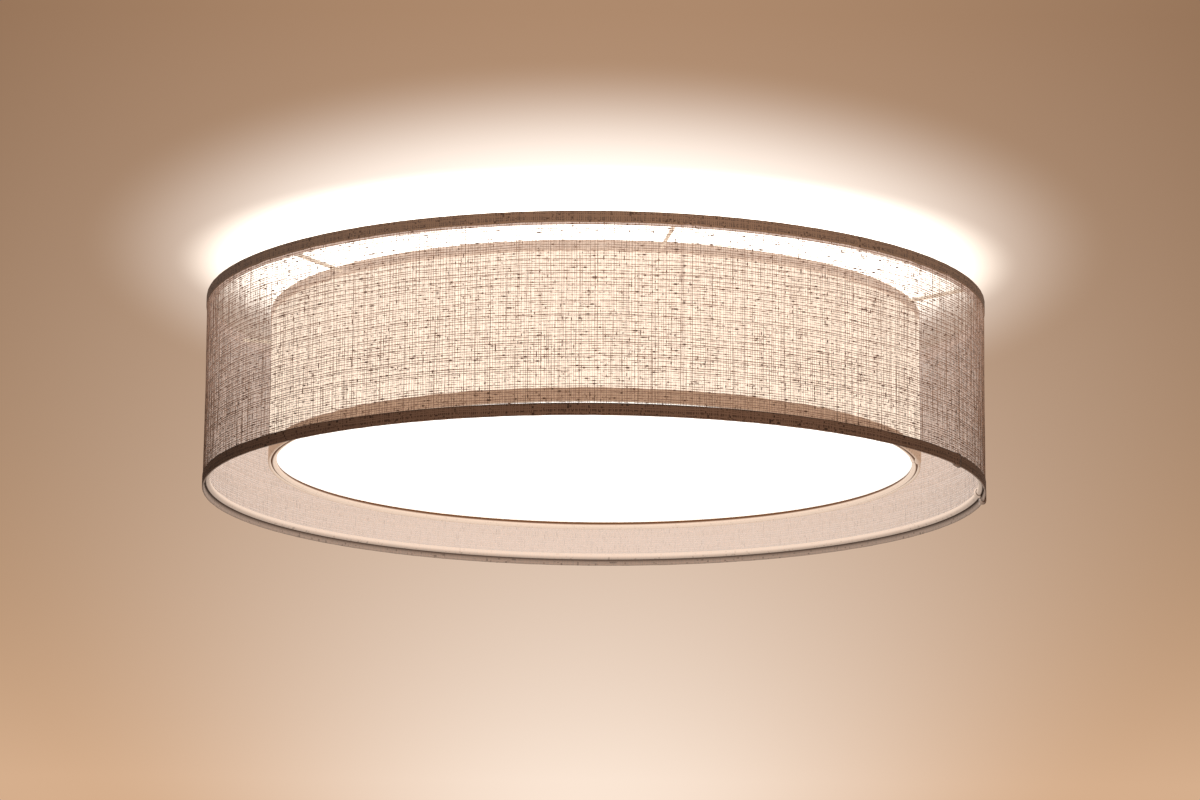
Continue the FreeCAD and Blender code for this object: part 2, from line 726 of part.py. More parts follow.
# ---- lead wires ----
def wire(name, points):
    """Round wire along straight runs joined by tangent arcs, each as large as its runs and place allow."""
    path, here = [], points[0]
    for before, corner, after in zip(points, points[1:], points[2:]):
        back, onward = before - corner, after - corner
        half_turn = (math.pi - back.getAngle(onward)) / 2
        room = 0.45 * min(back.Length, onward.Length)
        radius = min(room / math.tan(half_turn), value("lead_bend"))
        reach = radius * math.tan(half_turn)
        start = corner + back.normalize() * reach
        end = corner + onward.normalize() * reach
        inward = (back + onward).normalize()
        apex = corner + inward * (radius / math.cos(half_turn) - radius)
        path += [Part.LineSegment(here, start).toShape(), Part.Arc(start, apex, end).toShape()]
        here = end
        print(f"{name}: bend radius {radius:.1f} mm, wire diameter {2 * value('lead_radius'):.1f} mm")
    path.append(Part.LineSegment(here, points[-1]).toShape())
    spine = Part.Wire(path)
    section = Part.Wire([Part.makeCircle(value("lead_radius"), points[0], points[1] - points[0])])
    solid = spine.makePipeShell([section], True, False)
    expected = math.pi * value("lead_radius") ** 2 * spine.Length
    if abs(solid.Volume / expected - 1) > 0.01:
        raise ValueError(f"{name}: volume {solid.Volume:.1f}, expected {expected:.1f}")
    feature = doc.addObject("Part::Feature", name)
    feature.Shape = solid
    feature.Placement = FreeCAD.Placement()
    return feature


def lead_wires():
    """A live and a neutral wire from the terminal block down the stem to the first lampholder, and a pair
    from each lampholder to the next. Pairs lie side by side, and neighbouring pairs one above another."""
    half = value("lead_pitch") / 2
    level = value("-lamp_drop")
    end = value(INSERT_BACK) - value("shell_gap")
    angles = round_angles("lamp_first_angle", "lamp_count")
    floor = value("-canopy_depth")
    for name, hand in (("live", -1), ("neutral", 1)):
        pole = value("pole_pitch / 2")
        front = value("block_front")
        feed = [
            V(hand * pole, front + 5, value(POLE_UP)),
            V(hand * pole, front - 4, value(POLE_UP)),
            V(hand * (half + pole) / 2.4, front * 0.4, floor + value("lead_crest")),
            V(hand * half, 0, floor + value("lead_rise")),
            V(hand * half, 0, level + half),
            V(hand * half, end, level + half),
        ]
        pieces = [wire(f"{name}_feed", feed)]
        for step, (first, second) in enumerate(zip(angles, angles[1:])):
            height = level + half * (-1 if step % 2 == 0 else 1)
            sideways = hand * half
            spread = math.radians(second - first) / 2
            middle = outward((first + second) / 2, sideways / math.sin(spread), height)
            first_side = outward(first + 90, sideways, 0)
            second_side = outward(second + 90, -sideways, 0)
            route = [
                outward(first, end, height) + first_side,
                middle,
                outward(second, end, height) + second_side,
            ]
            pieces.append(wire(f"{name}_link_{step + 1}", route))
        keep(f"{name}_leads", group(f"{name}_leads", pieces))


# ---- spider and rings ----
def ring(name, radius, up):
    """Closed ring of round wire."""
    hoop = doc.addObject("Part::Torus", name)
    bind(hoop, "Radius1", radius)
    bind(hoop, "Radius2", "ring_wire / 2")
    keep(name, place(hoop, up=up))


def spoke(name, radius, start, end):
    """Straight round bar from one point to another."""
    bar = rod(name, radius, "rod_wire")
    bar.setExpression("Height", None)
    bar.Height = (end - start).Length
    return aim(bar, start, end)


def spider():
    """Hub on the stem, arms out to the inner top ring and rods from there to the outer top ring. The
    last thing made is the set of notches that the bars need in the fabric and hems."""
    hub = tube("spider_hub", "hub_radius", "stem_diameter / 2 + hole_gap", "hub_wall")
    keep("spider_hub", place(hub, up=f"{HUB_TOP} - hub_wall"))
    inner_up, outer_up = value(INNER_RING_UP), value(OUTER_RING_UP)
    inner, outer = value(INNER_RING), value(OUTER_RING)
    arms, rods, notches = [], [], []
    for number, angle in enumerate(round_angles("rod_first_angle", "arm_count"), start=1):
        start = outward(angle, value("arm_start"), inner_up)
        end = outward(angle, inner - value("ring_wire / 2 + weld_gap"), inner_up)
        arms.append(spoke(f"arm_{number}", "rod_wire / 2", start, end))
        notch_start = outward(angle, inner - value("3 * ring_wire"), inner_up)
        notch_end = outward(angle, inner, inner_up)
        notches.append(spoke(f"arm_notch_{number}", "rod_wire / 2 + notch_gap", notch_start, notch_end))
    for number, angle in enumerate(round_angles("rod_first_angle", "rod_count"), start=1):
        inner_spot, outer_spot = outward(angle, inner, inner_up), outward(angle, outer, outer_up)
        way = (outer_spot - inner_spot).normalize() * value("ring_wire / 2 + weld_gap")
        rods.append(spoke(f"rod_{number}", "rod_wire / 2", inner_spot + way, outer_spot - way))
        notches.append(spoke(f"rod_notch_{number}", "rod_wire / 2 + notch_gap", inner_spot, outer_spot))
    keep("spider_arms", group("spider_arms", arms))
    keep("joining_rods", group("joining_rods", rods))
    return group("notches", notches)


# ---- drums ----
def hem(name, drum_radius, leg, ring_radius, edge, width, inset, downward):
    """Fabric tape folded over a drum's edge: a band outside, a leg inside and a roll round the ring."""
    way = "-" if downward else "+"
    back = "+" if downward else "-"
    ring_up = f"({edge} {way} {inset})"
    outside = f"({drum_radius} + glue_gap)"
    body = doc.addObject("PartDesign::Body", name)
    legs = sketch_on(body, "XZ_Plane")
    leg_end = f"{ring_up} {back} ring_wire / 4"
    shape = [
        (outside, f"{edge} {way} {width}"),
        (f"{outside} + hem_wall", f"{edge} {way} {width}"),
        (f"{outside} + hem_wall", edge),
        (f"{leg} - hem_wall", edge),
        (f"{leg} - hem_wall", leg_end),
        (leg, leg_end),
        (leg, f"{edge} {way} hem_wall"),
        (outside, f"{edge} {way} hem_wall"),
    ]
    outline(legs, shape)
    revolve(body, legs)
    roll = sketch_on(body, "XZ_Plane")
    ring_of(roll, ring_radius, ring_up, ROLL)
    ring_of(roll, ring_radius, ring_up, "ring_wire / 2 + glue_gap")
    revolve(body, roll)
    return body


def drum(name, radius, top, bottom, wall, seam_face, seam_low, seam_high, seam_angle):
    """Thin fabric cylinder whose glued overlap is a second layer on one face."""
    low, high = f"({bottom} + hem_wall + glue_gap)", f"({top} - hem_wall - glue_gap)"
    inside = f"{radius} - {wall}"
    body = turned(name, [(inside, low), (radius, low), (radius, high), (inside, high)])
    if seam_face:
        strip = sketch_on(body, "XZ_Plane")
        near, far = seam_face
        outline(strip, [(near, seam_low), (far, seam_low), (far, seam_high), (near, seam_high)])
        overlap = revolve(body, strip)
        bind(overlap, "Angle", f"seam_width / {radius} * 180 / pi")
        overlap.Midplane = True
    place(body, turn=seam_angle)
    return body


def shade():
    """Both drums with their rings, hems and liner, and the diffuser that rests on the inner drum."""
    rings = {
        "outer_top_ring": (OUTER_RING, OUTER_RING_UP),
        "outer_bottom_ring": (OUTER_RING, f"{OUTER_BOTTOM} + outer_inset"),
        "inner_top_ring": (INNER_RING, INNER_RING_UP),
        "inner_bottom_ring": (INNER_RING, f"{INNER_BOTTOM} + inner_bottom_inset"),
    }
    for name, (radius, up) in rings.items():
        ring(name, radius, up)
    notches = spider()

    outer, inner = "outer_radius", "inner_radius"
    hems = {
        "outer_top_hem": (outer, OUTER_LEG, OUTER_RING, OUTER_TOP, "hem_width", "outer_inset", True),
        "outer_bottom_hem": (outer, OUTER_LEG, OUTER_RING, OUTER_BOTTOM, "hem_width", "outer_inset", False),
        "inner_top_hem": (inner, INNER_LEG, INNER_RING, INNER_TOP, "hem_width", "inner_top_inset", True),
        "inner_bottom_hem": (
            inner, INNER_LEG, INNER_RING, INNER_BOTTOM, "inner_hem_width", "inner_bottom_inset", False
        ),
    }
    for name, terms in hems.items():
        if name.endswith("bottom_hem"):
            keep(name, hem(name, *terms))
        else:
            keep(name, cut(name, hem(f"{name}_whole", *terms), notches))

    # The outer drum's second layer is on its inside, between the rolls; the inner drum's is outside.
    behind = ("outer_radius - fabric_wall * 2", "outer_radius - fabric_wall * 0.8")
    clear = f"outer_inset + {ROLL} + glue_gap"
    outer_fabric = drum(
        "outer_fabric", outer, OUTER_TOP, OUTER_BOTTOM, "fabric_wall", behind,
        f"{OUTER_BOTTOM} + {clear}", f"{OUTER_TOP} - ({clear})", value("outer_seam_angle"),
    )
    keep("outer_fabric", outer_fabric)
    before = ("inner_radius - fabric_wall * 0.2", "inner_radius + fabric_wall")
    inner_fabric = drum(
        "inner_fabric_whole", inner, INNER_TOP, INNER_BOTTOM, "fabric_wall", before,
        f"{INNER_BOTTOM} + inner_hem_width + glue_gap", f"{INNER_TOP} - hem_width - glue_gap",
        value("inner_seam_angle"),
    )
    keep("inner_fabric", cut("inner_fabric", inner_fabric, notches))
    lining = "(inner_radius - fabric_wall - glue_gap)"
    liner = drum(
        "inner_liner_whole", lining, INNER_TOP, INNER_BOTTOM, "liner_wall", None, None, None, 0.0
    )
    keep("inner_liner", cut("inner_liner", liner, notches))

    disc = rod("diffuser", f"{lining} - liner_wall - disc_gap", "disc_wall")
    seat = f"{INNER_BOTTOM} + inner_bottom_inset + {ROLL} + rest_gap"
    keep("diffuser", place(disc, up=seat))


mounting_bar()
studs()
canopy()
terminal_block()
earth_terminal()
stem()
holder_bracket()
for number, angle in enumerate(round_angles("lamp_first_angle", "lamp_count"), start=1):
    lampholder(number, angle)
    bulb(number, angle)
holder_insides()
lead_wires()
shade()
doc.recompute()

for item in doc.Objects:
    if {"Invalid", "Error"} & set(item.State):
        raise RuntimeError(f"{item.Label} failed: {item.State}")
for name, piece in nodes.items():
    if piece.Shape.isNull() or not piece.Shape.isValid():
        raise RuntimeError(f"{name} has no valid shape")
os.makedirs("parts", exist_ok=True)
for name, piece in nodes.items():
    piece.Shape.exportStep(f"parts/{name}.step")
print(f"{len(nodes)} nodes")
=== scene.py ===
"""Flush mount ceiling light: two round cloth drums on wire rings, an opal disc and three lamps."""

import logging
from dataclasses import dataclass, field, replace
from enum import Enum

import bpy
import numpy as np
from mathutils import Matrix


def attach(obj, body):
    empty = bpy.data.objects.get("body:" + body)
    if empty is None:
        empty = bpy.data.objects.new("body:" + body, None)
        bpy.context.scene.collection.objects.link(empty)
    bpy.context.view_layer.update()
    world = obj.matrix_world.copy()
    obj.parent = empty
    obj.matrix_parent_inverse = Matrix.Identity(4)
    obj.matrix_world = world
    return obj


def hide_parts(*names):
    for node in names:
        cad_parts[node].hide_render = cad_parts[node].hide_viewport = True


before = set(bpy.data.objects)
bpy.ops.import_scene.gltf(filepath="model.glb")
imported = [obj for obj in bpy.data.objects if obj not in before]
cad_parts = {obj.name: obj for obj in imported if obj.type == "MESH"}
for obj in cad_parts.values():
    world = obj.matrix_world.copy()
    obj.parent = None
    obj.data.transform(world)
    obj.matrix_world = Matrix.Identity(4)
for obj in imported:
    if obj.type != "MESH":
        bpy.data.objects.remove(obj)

MM = 0.001
APART = 7.31  # between the places in the noise that neighbouring threads take
LEVEL = (1.0, 1.0, 0.0)  # drops the height from a place
LOG = logging.getLogger("ceiling_light")
Piece, Material, Socket = bpy.types.Object, bpy.types.Material, bpy.types.NodeSocket
BLEND = {"out": 2, "data_type": "RGBA"}  # a Mix node that mixes colours
SOFT = {"interpolation_type": "SMOOTHSTEP"}  # a Map Range node without corners


def linear(colour: str) -> tuple[float, float, float, float]:
    """Turns an sRGB hex colour into the linear colour that a shader takes.

    Args:
        colour: six hex digits after a hash sign.

    Returns:
        Red, green, blue and an opacity of 1.
    """
    coded = np.array([int(colour[k : k + 2], 16) for k in (1, 3, 5)]) / 255
    plain = np.where(coded <= 0.04045, coded / 12.92, ((coded + 0.055) / 1.055) ** 2.4)
    return (*plain.tolist(), 1.0)


# ---------------------------------------------------------------- shapes


def wander(angles: np.ndarray, seed: int, waves: tuple[int, int], size: float) -> np.ndarray:
    """Uneven handwork round a hoop: a sum of sines with whole numbers of waves, so it closes on itself.

    Args:
        angles: radians round the hoop.
        seed: picks the waves' phases.
        waves: fewest and most waves round the hoop.
        size: how far the sum strays at most, roughly.

    Returns:
        One number for each angle.
    """
    chance = np.random.default_rng(seed)
    counts = chance.integers(waves[0], waves[1], 9)
    phases = chance.uniform(0, 2 * np.pi, 9)
    return np.sin(angles[:, None] * counts + phases).sum(axis=1) * size / 4


def ramp(place: np.ndarray, start: float, end: float) -> np.ndarray:
    """A smooth rise from 0 at start to 1 at end: three times the square of the share, less twice its cube."""
    share = np.clip((place - start) / (end - start), 0, 1)
    return share * share * (3 - 2 * share)


def half_turn(centre: tuple[float, float], radius: float, start: float, end: float, steps: int) -> np.ndarray:
    """Points on an arc: centre plus radius times cosine and sine, from start to end in degrees."""
    turn = np.radians(np.linspace(start, end, steps))
    return np.array(centre) + radius * np.stack([np.cos(turn), np.sin(turn)], axis=1)


def normals_of(line: np.ndarray) -> np.ndarray:
    """Unit normals to the left of a flat line of points: its slope turned by a quarter turn.

    Args:
        line: distance and height of each point.

    Returns:
        One normal for each point.
    """
    slope = np.gradient(line, axis=0)
    slope /= np.linalg.norm(slope, axis=1, keepdims=True)
    return np.stack([-slope[:, 1], slope[:, 0]], axis=1)


def run_lengths(line: np.ndarray) -> np.ndarray:
    """How far each point lies along a line: the sum of the steps before it."""
    steps = np.linalg.norm(np.diff(line, axis=0), axis=1)
    return np.concatenate([[0.0], np.cumsum(steps)])


def make_piece(
    name: str,
    points: np.ndarray,
    closed: tuple[bool, bool],
    material: Material,
    attributes: dict[str, np.ndarray] | None = None,
    caps: bool = False,
) -> Piece:
    """Puts a grid of points into a mesh of four-sided faces that point outwards.

    Args:
        name: the piece's name.
        points: rows, columns and 3 coordinates, in millimetres; a bundle of like grids has one more
            dimension before these.
        closed: whether the rows and the columns run round and meet.
        material: its finish.
        attributes: further values per point, with 3 numbers or none beyond the grid's dimensions.
        caps: whether the first and last row get an end face each.

    Returns:
        The mesh object, at the origin.
    """
    index = np.arange(points.size // 3).reshape(points.shape[:-1])
    if closed[0]:
        index = np.concatenate([index, index[..., :1, :]], axis=-2)
    if closed[1]:
        index = np.concatenate([index, index[..., :1]], axis=-1)
    corners = [index[..., :-1, :-1], index[..., 1:, :-1], index[..., 1:, 1:], index[..., :-1, 1:]]
    quads = np.stack(corners, axis=-1).reshape(-1, 4)
    flat = points.reshape(-1, 3)
    a, b, c, d = (flat[quads[:, k]] for k in range(4))
    volume = np.einsum("ij,ij->i", a, np.cross(b, c)) + np.einsum("ij,ij->i", a, np.cross(c, d))
    inside_out = volume.sum() < 0
    faces = (quads[:, ::-1] if inside_out else quads).tolist()
    if caps:
        first, last = (index[end, : points.shape[-2]].tolist() for end in (0, -1))
        faces += [first[::-1], last] if inside_out else [first, last[::-1]]
    mesh = bpy.data.meshes.new(name)
    mesh.from_pydata((flat * MM).tolist(), [], faces)
    mesh.polygons.foreach_set("use_smooth", np.ones(len(mesh.polygons), dtype=bool))
    for key, values in (attributes or {}).items():
        kind, slot = ("FLOAT_VECTOR", "vector") if values.ndim == points.ndim else ("FLOAT", "value")
        mesh.attributes.new(key, kind, "POINT").data.foreach_set(slot, values.astype(np.float32).ravel())
    mesh.materials.append(material)
    mesh.update()
    piece = bpy.data.objects.new(name, mesh)
    bpy.context.scene.collection.objects.link(piece)
    return piece


def hoop(section: np.ndarray, normals: np.ndarray, angles: np.ndarray, lift: np.ndarray) -> np.ndarray:
    """Carries a section round the light's middle axis.

    A section's point at distance r and height z goes to (r cos a, r sin a, z), after it has moved
    along its own normal by the lift at that angle.

    Args:
        section: distance and height of each point.
        normals: the section's unit normals.
        angles: radians, one for each row of the result.
        lift: millimetres, one for each angle, or one for each angle and point.

    Returns:
        Angles by points by 3 coordinates.
    """
    lift = lift[:, None] if lift.ndim == 1 else lift
    out = section[None, :, 0] + normals[None, :, 0] * lift
    up = section[None, :, 1] + normals[None, :, 1] * lift
    return np.stack([out * np.cos(angles)[:, None], out * np.sin(angles)[:, None], up], axis=-1)


# ---------------------------------------------------------------- finishes


class Recipe:
    """A node tree for a material, begun with its Principled shader, or for the world."""

    def __init__(self, name: str, world: bpy.types.World | None = None) -> None:
        """Starts a recipe.

        Args:
            name: the finish's name.
            world: the world to light, where it isn't for a material.
        """
        self.material = world or bpy.data.materials.new(name)
        self.material.use_nodes = True
        self.tree = self.material.node_tree
        self.shader = self.tree.nodes["Background" if world else "Principled BSDF"]

    def add(self, kind: str, *given: object, out: int | str = 0, **settings: object) -> Socket:
        """Adds one node with its settings and links.

        Args:
            kind: the node's type, without the leading ShaderNode, and its operation after a colon.
            given: a number, colour or link for each input in turn, or one dict of them by input.
            out: which output to return.
            settings: the node's own properties.

        Returns:
            The output.
        """
        kind, _, operation = kind.partition(":")
        made = self.tree.nodes.new("ShaderNode" + kind)
        settings |= {"operation": operation} if operation else {}
        for name, setting in settings.items():
            setattr(made, name, setting)
        by_input = given[0] if given and isinstance(given[0], dict) else dict(enumerate(given))
        for key, value in by_input.items():
            self.fill(made.inputs[key], value)
        return made.outputs[out]

    def fill(self, socket: Socket, value: object) -> None:
        """Links a socket to another node's output, or sets its own value.

        Args:
            socket: the input.
            value: an output, a number, a vector, or a hex colour as text.
        """
        if isinstance(value, Socket):
            self.tree.links.new(value, socket)
        else:
            colour = linear(value)[: len(socket.default_value)] if isinstance(value, str) else value
            socket.default_value = colour

    def surface(self, **sockets: object) -> Material:
        """Fills the shader's own sockets.

        Args:
            sockets: a value for each socket, named with underscores for spaces.

        Returns:
            The material.
        """
        for name, value in sockets.items():
            self.fill(self.shader.inputs[name.replace("_", " ")], value)
        return self.material

    def spill(self, colour: str, height: Socket, low: float = -175.0, high: float = -60.0) -> Socket:
        """Fades the lamplight that spills over the shade's top edge, from high to low on its outside.

        Args:
            colour: the light at its fullest.
            height: millimetres above the ceiling's plane.
            low: where the light is weakest.
            high: where it is fullest.

        Returns:
            The light's colour at that height.
        """
        share = self.add("MapRange", height, low, high, 0.2, 1.1)
        return self.add("VectorMath:SCALE", {0: colour, "Scale": share})

    def seen(self) -> Socket:
        """Tells the rays that look at a thing from those that gather light.

        Returns:
            1 for the eye, a reflection or a clear thing, and 0 for the rest.
        """
        rays = ("Is Camera Ray", "Is Glossy Ray", "Is Transmission Ray")
        eye, mirror, clear = (self.add("LightPath", out=ray) for ray in rays)
        return self.add("Math:MAXIMUM", self.add("Math:MAXIMUM", eye, mirror), clear)

    def millimetres(self) -> Socket:
        """The place on the object, in millimetres."""
        place = self.add("TexCoord", out="Object")
        return self.add("VectorMath:SCALE", {0: place, "Scale": 1 / MM})


@dataclass(frozen=True)
class Threads:
    """One direction of threads in a cloth.

    Pitch, slub_length and stray are in millimetres, and stray_size is per millimetre. Cover, swell,
    slub_swell and soft_edge are shares of the pitch.
    """

    pitch: float
    cover: float
    swell: float
    slub_length: float
    slub_share: float
    seed: float
    slub_swell: float = 0.13
    soft_edge: float = 0.06
    stray: float = 2.2
    stray_size: float = 0.02

    def draw(self, recipe: Recipe, across: Socket, along: Socket) -> tuple[Socket, Socket]:
        """Draws the threads.

        Each thread lies up to a quarter of the pitch off its place. Noise that is stretched along it
        makes it thick and thin. Where the noise passes a limit, the thread is a slub, which is thicker
        and darker.

        Args:
            recipe: the material to draw in.
            across: millimetres across the threads.
            along: millimetres along the threads.

        Returns:
            How much of the place a thread covers, and how far it is a slub.
        """
        spot = recipe.add("CombineXYZ", across, along, self.seed)
        drift = recipe.add("TexNoise", {"Vector": spot, "Scale": self.stray_size, "Detail": 1.0})
        strayed = recipe.add("Math:MULTIPLY_ADD", drift, self.stray, across)
        count = recipe.add("Math:DIVIDE", strayed, self.pitch)
        number = recipe.add("Math:FLOOR", count)
        apart = recipe.add("Math:MULTIPLY_ADD", number, APART, self.seed)
        stretched = recipe.add("Math:DIVIDE", along, self.slub_length)
        lane = recipe.add("CombineXYZ", apart, stretched, 0.0)
        yarn = recipe.add("TexNoise", {"Vector": lane, "Scale": 1.0, "Detail": 3.0}, noise_dimensions="2D")
        limit = 0.7 - 0.4 * self.slub_share
        slub = recipe.add("MapRange", yarn, limit, limit + 0.06, 0.0, 1.0)
        part = recipe.add("Math:FRACT", count)
        own = recipe.add("TexWhiteNoise", {"W": apart}, noise_dimensions="1D")
        shifted = recipe.add("Math:MULTIPLY_ADD", own, 0.5, part)
        off_middle = recipe.add("Math:ABSOLUTE", recipe.add("Math:SUBTRACT", shifted, 0.75))
        least = self.cover / 2 - self.swell / 2 - self.cover * 0.3
        usual = recipe.add("Math:MULTIPLY_ADD", yarn, self.swell, least)
        usual = recipe.add("Math:MULTIPLY_ADD", own, self.cover * 0.6, usual)
        half = recipe.add("Math:MULTIPLY_ADD", slub, self.slub_swell, usual)
        edge_out = recipe.add("Math:ADD", half, self.soft_edge)
        edge_in = recipe.add("Math:SUBTRACT", half, self.soft_edge)
        cover = recipe.add("MapRange", off_middle, edge_in, edge_out, 1.0, 0.0, **SOFT)
        return cover, slub


@dataclass(frozen=True)
class Cloth:
    """What the shade's cloths share: threads both ways, the thread's colours and the lamplight on it.

    The place on the cloth comes from the piece's own attributes: thread_mm, which is millimetres
    along and across the cloth, and up to 1 where painted shade darkens a fold or a cut end, and
    lamp_side, which is up to 1 where the lamps light it. An open weave's lit side has a haze of lit
    fibres between its threads. A close weave's gaps between threads get painted shade.
    """

    name: str
    upright: Threads
    level: Threads
    thread: str
    slub: str
    glow_outside: str
    glow_inside: str
    glow: float
    gap_shade: float = 0.0
    open_weave: bool = False

    def make(self) -> Material:
        """Builds the cloth's material.

        Returns:
            The material, see-through between the threads where the weave is open.
        """
        recipe = Recipe(self.name)
        place = recipe.add("Attribute", out="Vector", attribute_name="thread_mm")
        along, up, crease_shade = (recipe.add("SeparateXYZ", place, out=part) for part in range(3))
        both_ways = self.upright.draw(recipe, along, up), self.level.draw(recipe, up, along)
        cover = recipe.add("Math:MAXIMUM", *(cover for cover, _ in both_ways))
        dark = (recipe.add("Math:MULTIPLY", cover, slub) for cover, slub in both_ways)
        dark = recipe.add("Math:MAXIMUM", *dark)
        lamp_side = recipe.add("Attribute", out="Fac", attribute_name="lamp_side")
        behind = recipe.add("NewGeometry", out="Backfacing")
        unlike = recipe.add("Math:SUBTRACT", lamp_side, behind)
        lit = recipe.add("Math:ABSOLUTE", unlike)
        # painted lamplight: the slubs fade on the side that the lamps light
        faint = recipe.add("Math:MULTIPLY_ADD", lit, -0.8, 1.0)
        dark = recipe.add("Math:MULTIPLY", dark, faint)
        # painted shade in folds and at cut ends: it turns the thread, and below it the glow, towards the slub
        # colour
        dark = recipe.add("Math:MAXIMUM", dark, crease_shade)
        # painted shade in the gaps between a close weave's threads
        gap = recipe.add("Math:MULTIPLY_ADD", cover, -self.gap_shade, self.gap_shade)
        shade = recipe.add("Math:MAXIMUM", dark, gap)
        thread = recipe.add("Mix", {0: shade, 6: self.thread, 7: self.slub}, **BLEND)
        outside = recipe.spill(self.glow_outside, up) if self.open_weave else self.glow_outside
        glow = recipe.add("Mix", {0: lit, 6: outside, 7: self.glow_inside}, **BLEND)
        glow = recipe.add("Mix", {0: crease_shade, 6: glow, 7: self.slub}, **BLEND)
        thin = recipe.add("Math:MULTIPLY_ADD", cover, 0.0 if self.open_weave else -0.06, 1.0)
        thin = recipe.add("Math:MULTIPLY_ADD", dark, -0.5, thin)
        glow = recipe.add("VectorMath:SCALE", {0: glow, "Scale": thin})
        bump = recipe.add("Bump", {"Strength": 0.35, "Distance": 0.12 * MM, "Height": cover})
        material = recipe.surface(
            Base_Color=thread,
            Roughness=0.92,
            Specular_IOR_Level=0.2,
            Sheen_Weight=0.02,
            Sheen_Roughness=0.5,
            Emission_Color=glow,
            Emission_Strength=self.glow,
            Normal=bump,
        )
        if self.open_weave:
            haze = recipe.add("Math:MULTIPLY", lit, 0.35)
            recipe.surface(Alpha=recipe.add("Math:MAXIMUM", cover, haze))
        return material


@dataclass(frozen=True)
class Yarn:
    """The sheer cloth's upright threads, which are solid: thick and thin, light and dark along them."""

    name: str
    thread: str
    slub: str
    glow_outside: str
    glow_inside: str
    glow: float
    slub_length: float

    def make(self) -> Material:
        """Builds the yarn's material.

        Noise that is stretched along each thread darkens it here and there, and the flat side that
        looks at the middle axis is lit by the lamps.

        Returns:
            The material.
        """
        recipe = Recipe(self.name)
        place = recipe.add("Attribute", out="Vector", attribute_name="thread_mm")
        lane = recipe.add("VectorMath:MULTIPLY", place, (1.0, 1 / self.slub_length, 1.0))
        yarn = recipe.add("TexNoise", {"Vector": lane, "Scale": 1.0, "Detail": 3.0}, noise_dimensions="2D")
        dark = recipe.add("MapRange", yarn, 0.5, 0.62, 0.0, 1.0)
        thread = recipe.add("Mix", {0: dark, 6: self.thread, 7: self.slub}, **BLEND)
        way_out = recipe.add("VectorMath:MULTIPLY", recipe.millimetres(), LEVEL)
        way_out = recipe.add("VectorMath:NORMALIZE", way_out)
        facing = recipe.add("NewGeometry", out="True Normal")
        faces_out = recipe.add("VectorMath:DOT_PRODUCT", facing, way_out, out="Value")
        lamp_side = recipe.add("Math:LESS_THAN", faces_out, -0.5)
        outside = recipe.spill(self.glow_outside, recipe.add("SeparateXYZ", place, out=1))
        glow = recipe.add("Mix", {0: lamp_side, 6: outside, 7: self.glow_inside}, **BLEND)
        thin = recipe.add("Math:MULTIPLY_ADD", dark, -0.6, 1.0)
        glow = recipe.add("VectorMath:SCALE", {0: glow, "Scale": thin})
        return recipe.surface(
            Base_Color=thread,
            Roughness=0.9,
            Specular_IOR_Level=0.2,
            Emission_Color=glow,
            Emission_Strength=self.glow,
        )


@dataclass(frozen=True)
class PlatedMetal:
    """Metal with a plated or bare skin: clouded brightness, fine scratches and rubbed spots."""

    name: str
    colour: str
    dull: str
    roughness: float
    cloud: float

    def make(self) -> Material:
        """Builds the metal's material: noise of the cloud's size in millimetres moves tone and roughness.

        Returns:
            The material.
        """
        recipe = Recipe(self.name)
        place = recipe.millimetres()
        clouds = recipe.add("TexNoise", {"Vector": place, "Scale": 1 / self.cloud, "Detail": 4.0})
        tone = recipe.add("Mix", {0: clouds, 6: self.colour, 7: self.dull}, **BLEND)
        rough = recipe.add("Math:MULTIPLY_ADD", clouds, 0.22, self.roughness - 0.1)
        grit = recipe.add("TexNoise", {"Vector": place, "Scale": 3.0, "Detail": 2.0})
        bump = recipe.add("Bump", {"Strength": 0.15, "Distance": 0.02 * MM, "Height": grit})
        return recipe.surface(Base_Color=tone, Metallic=1.0, Roughness=rough, Normal=bump)


@dataclass(frozen=True)
class Smooth:
    """Paint, moulded plastic, wire insulation or glaze: an even colour with a faint texture."""

    name: str
    colour: str
    shade: str
    roughness: float
    grain: float
    relief: float
    coat: float = 0.0
    inner_light: float = 0.0
    lamplight: float = 0.0

    def make(self) -> Material:
        """Builds the material: orange peel or mould texture of the grain's size, in millimetres.

        Returns:
            The material.
        """
        recipe = Recipe(self.name)
        place = recipe.millimetres()
        clouds = recipe.add("TexNoise", {"Vector": place, "Scale": 0.05, "Detail": 3.0})
        tone = recipe.add("Mix", {0: clouds, 6: self.colour, 7: self.shade}, **BLEND)
        grain = recipe.add("TexNoise", {"Vector": place, "Scale": 1 / self.grain, "Detail": 2.0})
        rough = recipe.add("Math:MULTIPLY_ADD", grain, 0.12, self.roughness - 0.06)
        bump = recipe.add("Bump", {"Strength": 0.3, "Distance": self.relief * MM, "Height": grain})
        return recipe.surface(
            Base_Color=tone,
            Roughness=rough,
            Coat_Weight=self.coat,
            Coat_Roughness=0.08,
            Subsurface_Weight=self.inner_light,
            Subsurface_Radius=(0.004, 0.003, 0.002),
            Emission_Color="#FFE9D2",
            Emission_Strength=self.lamplight,
            Normal=bump,
        )


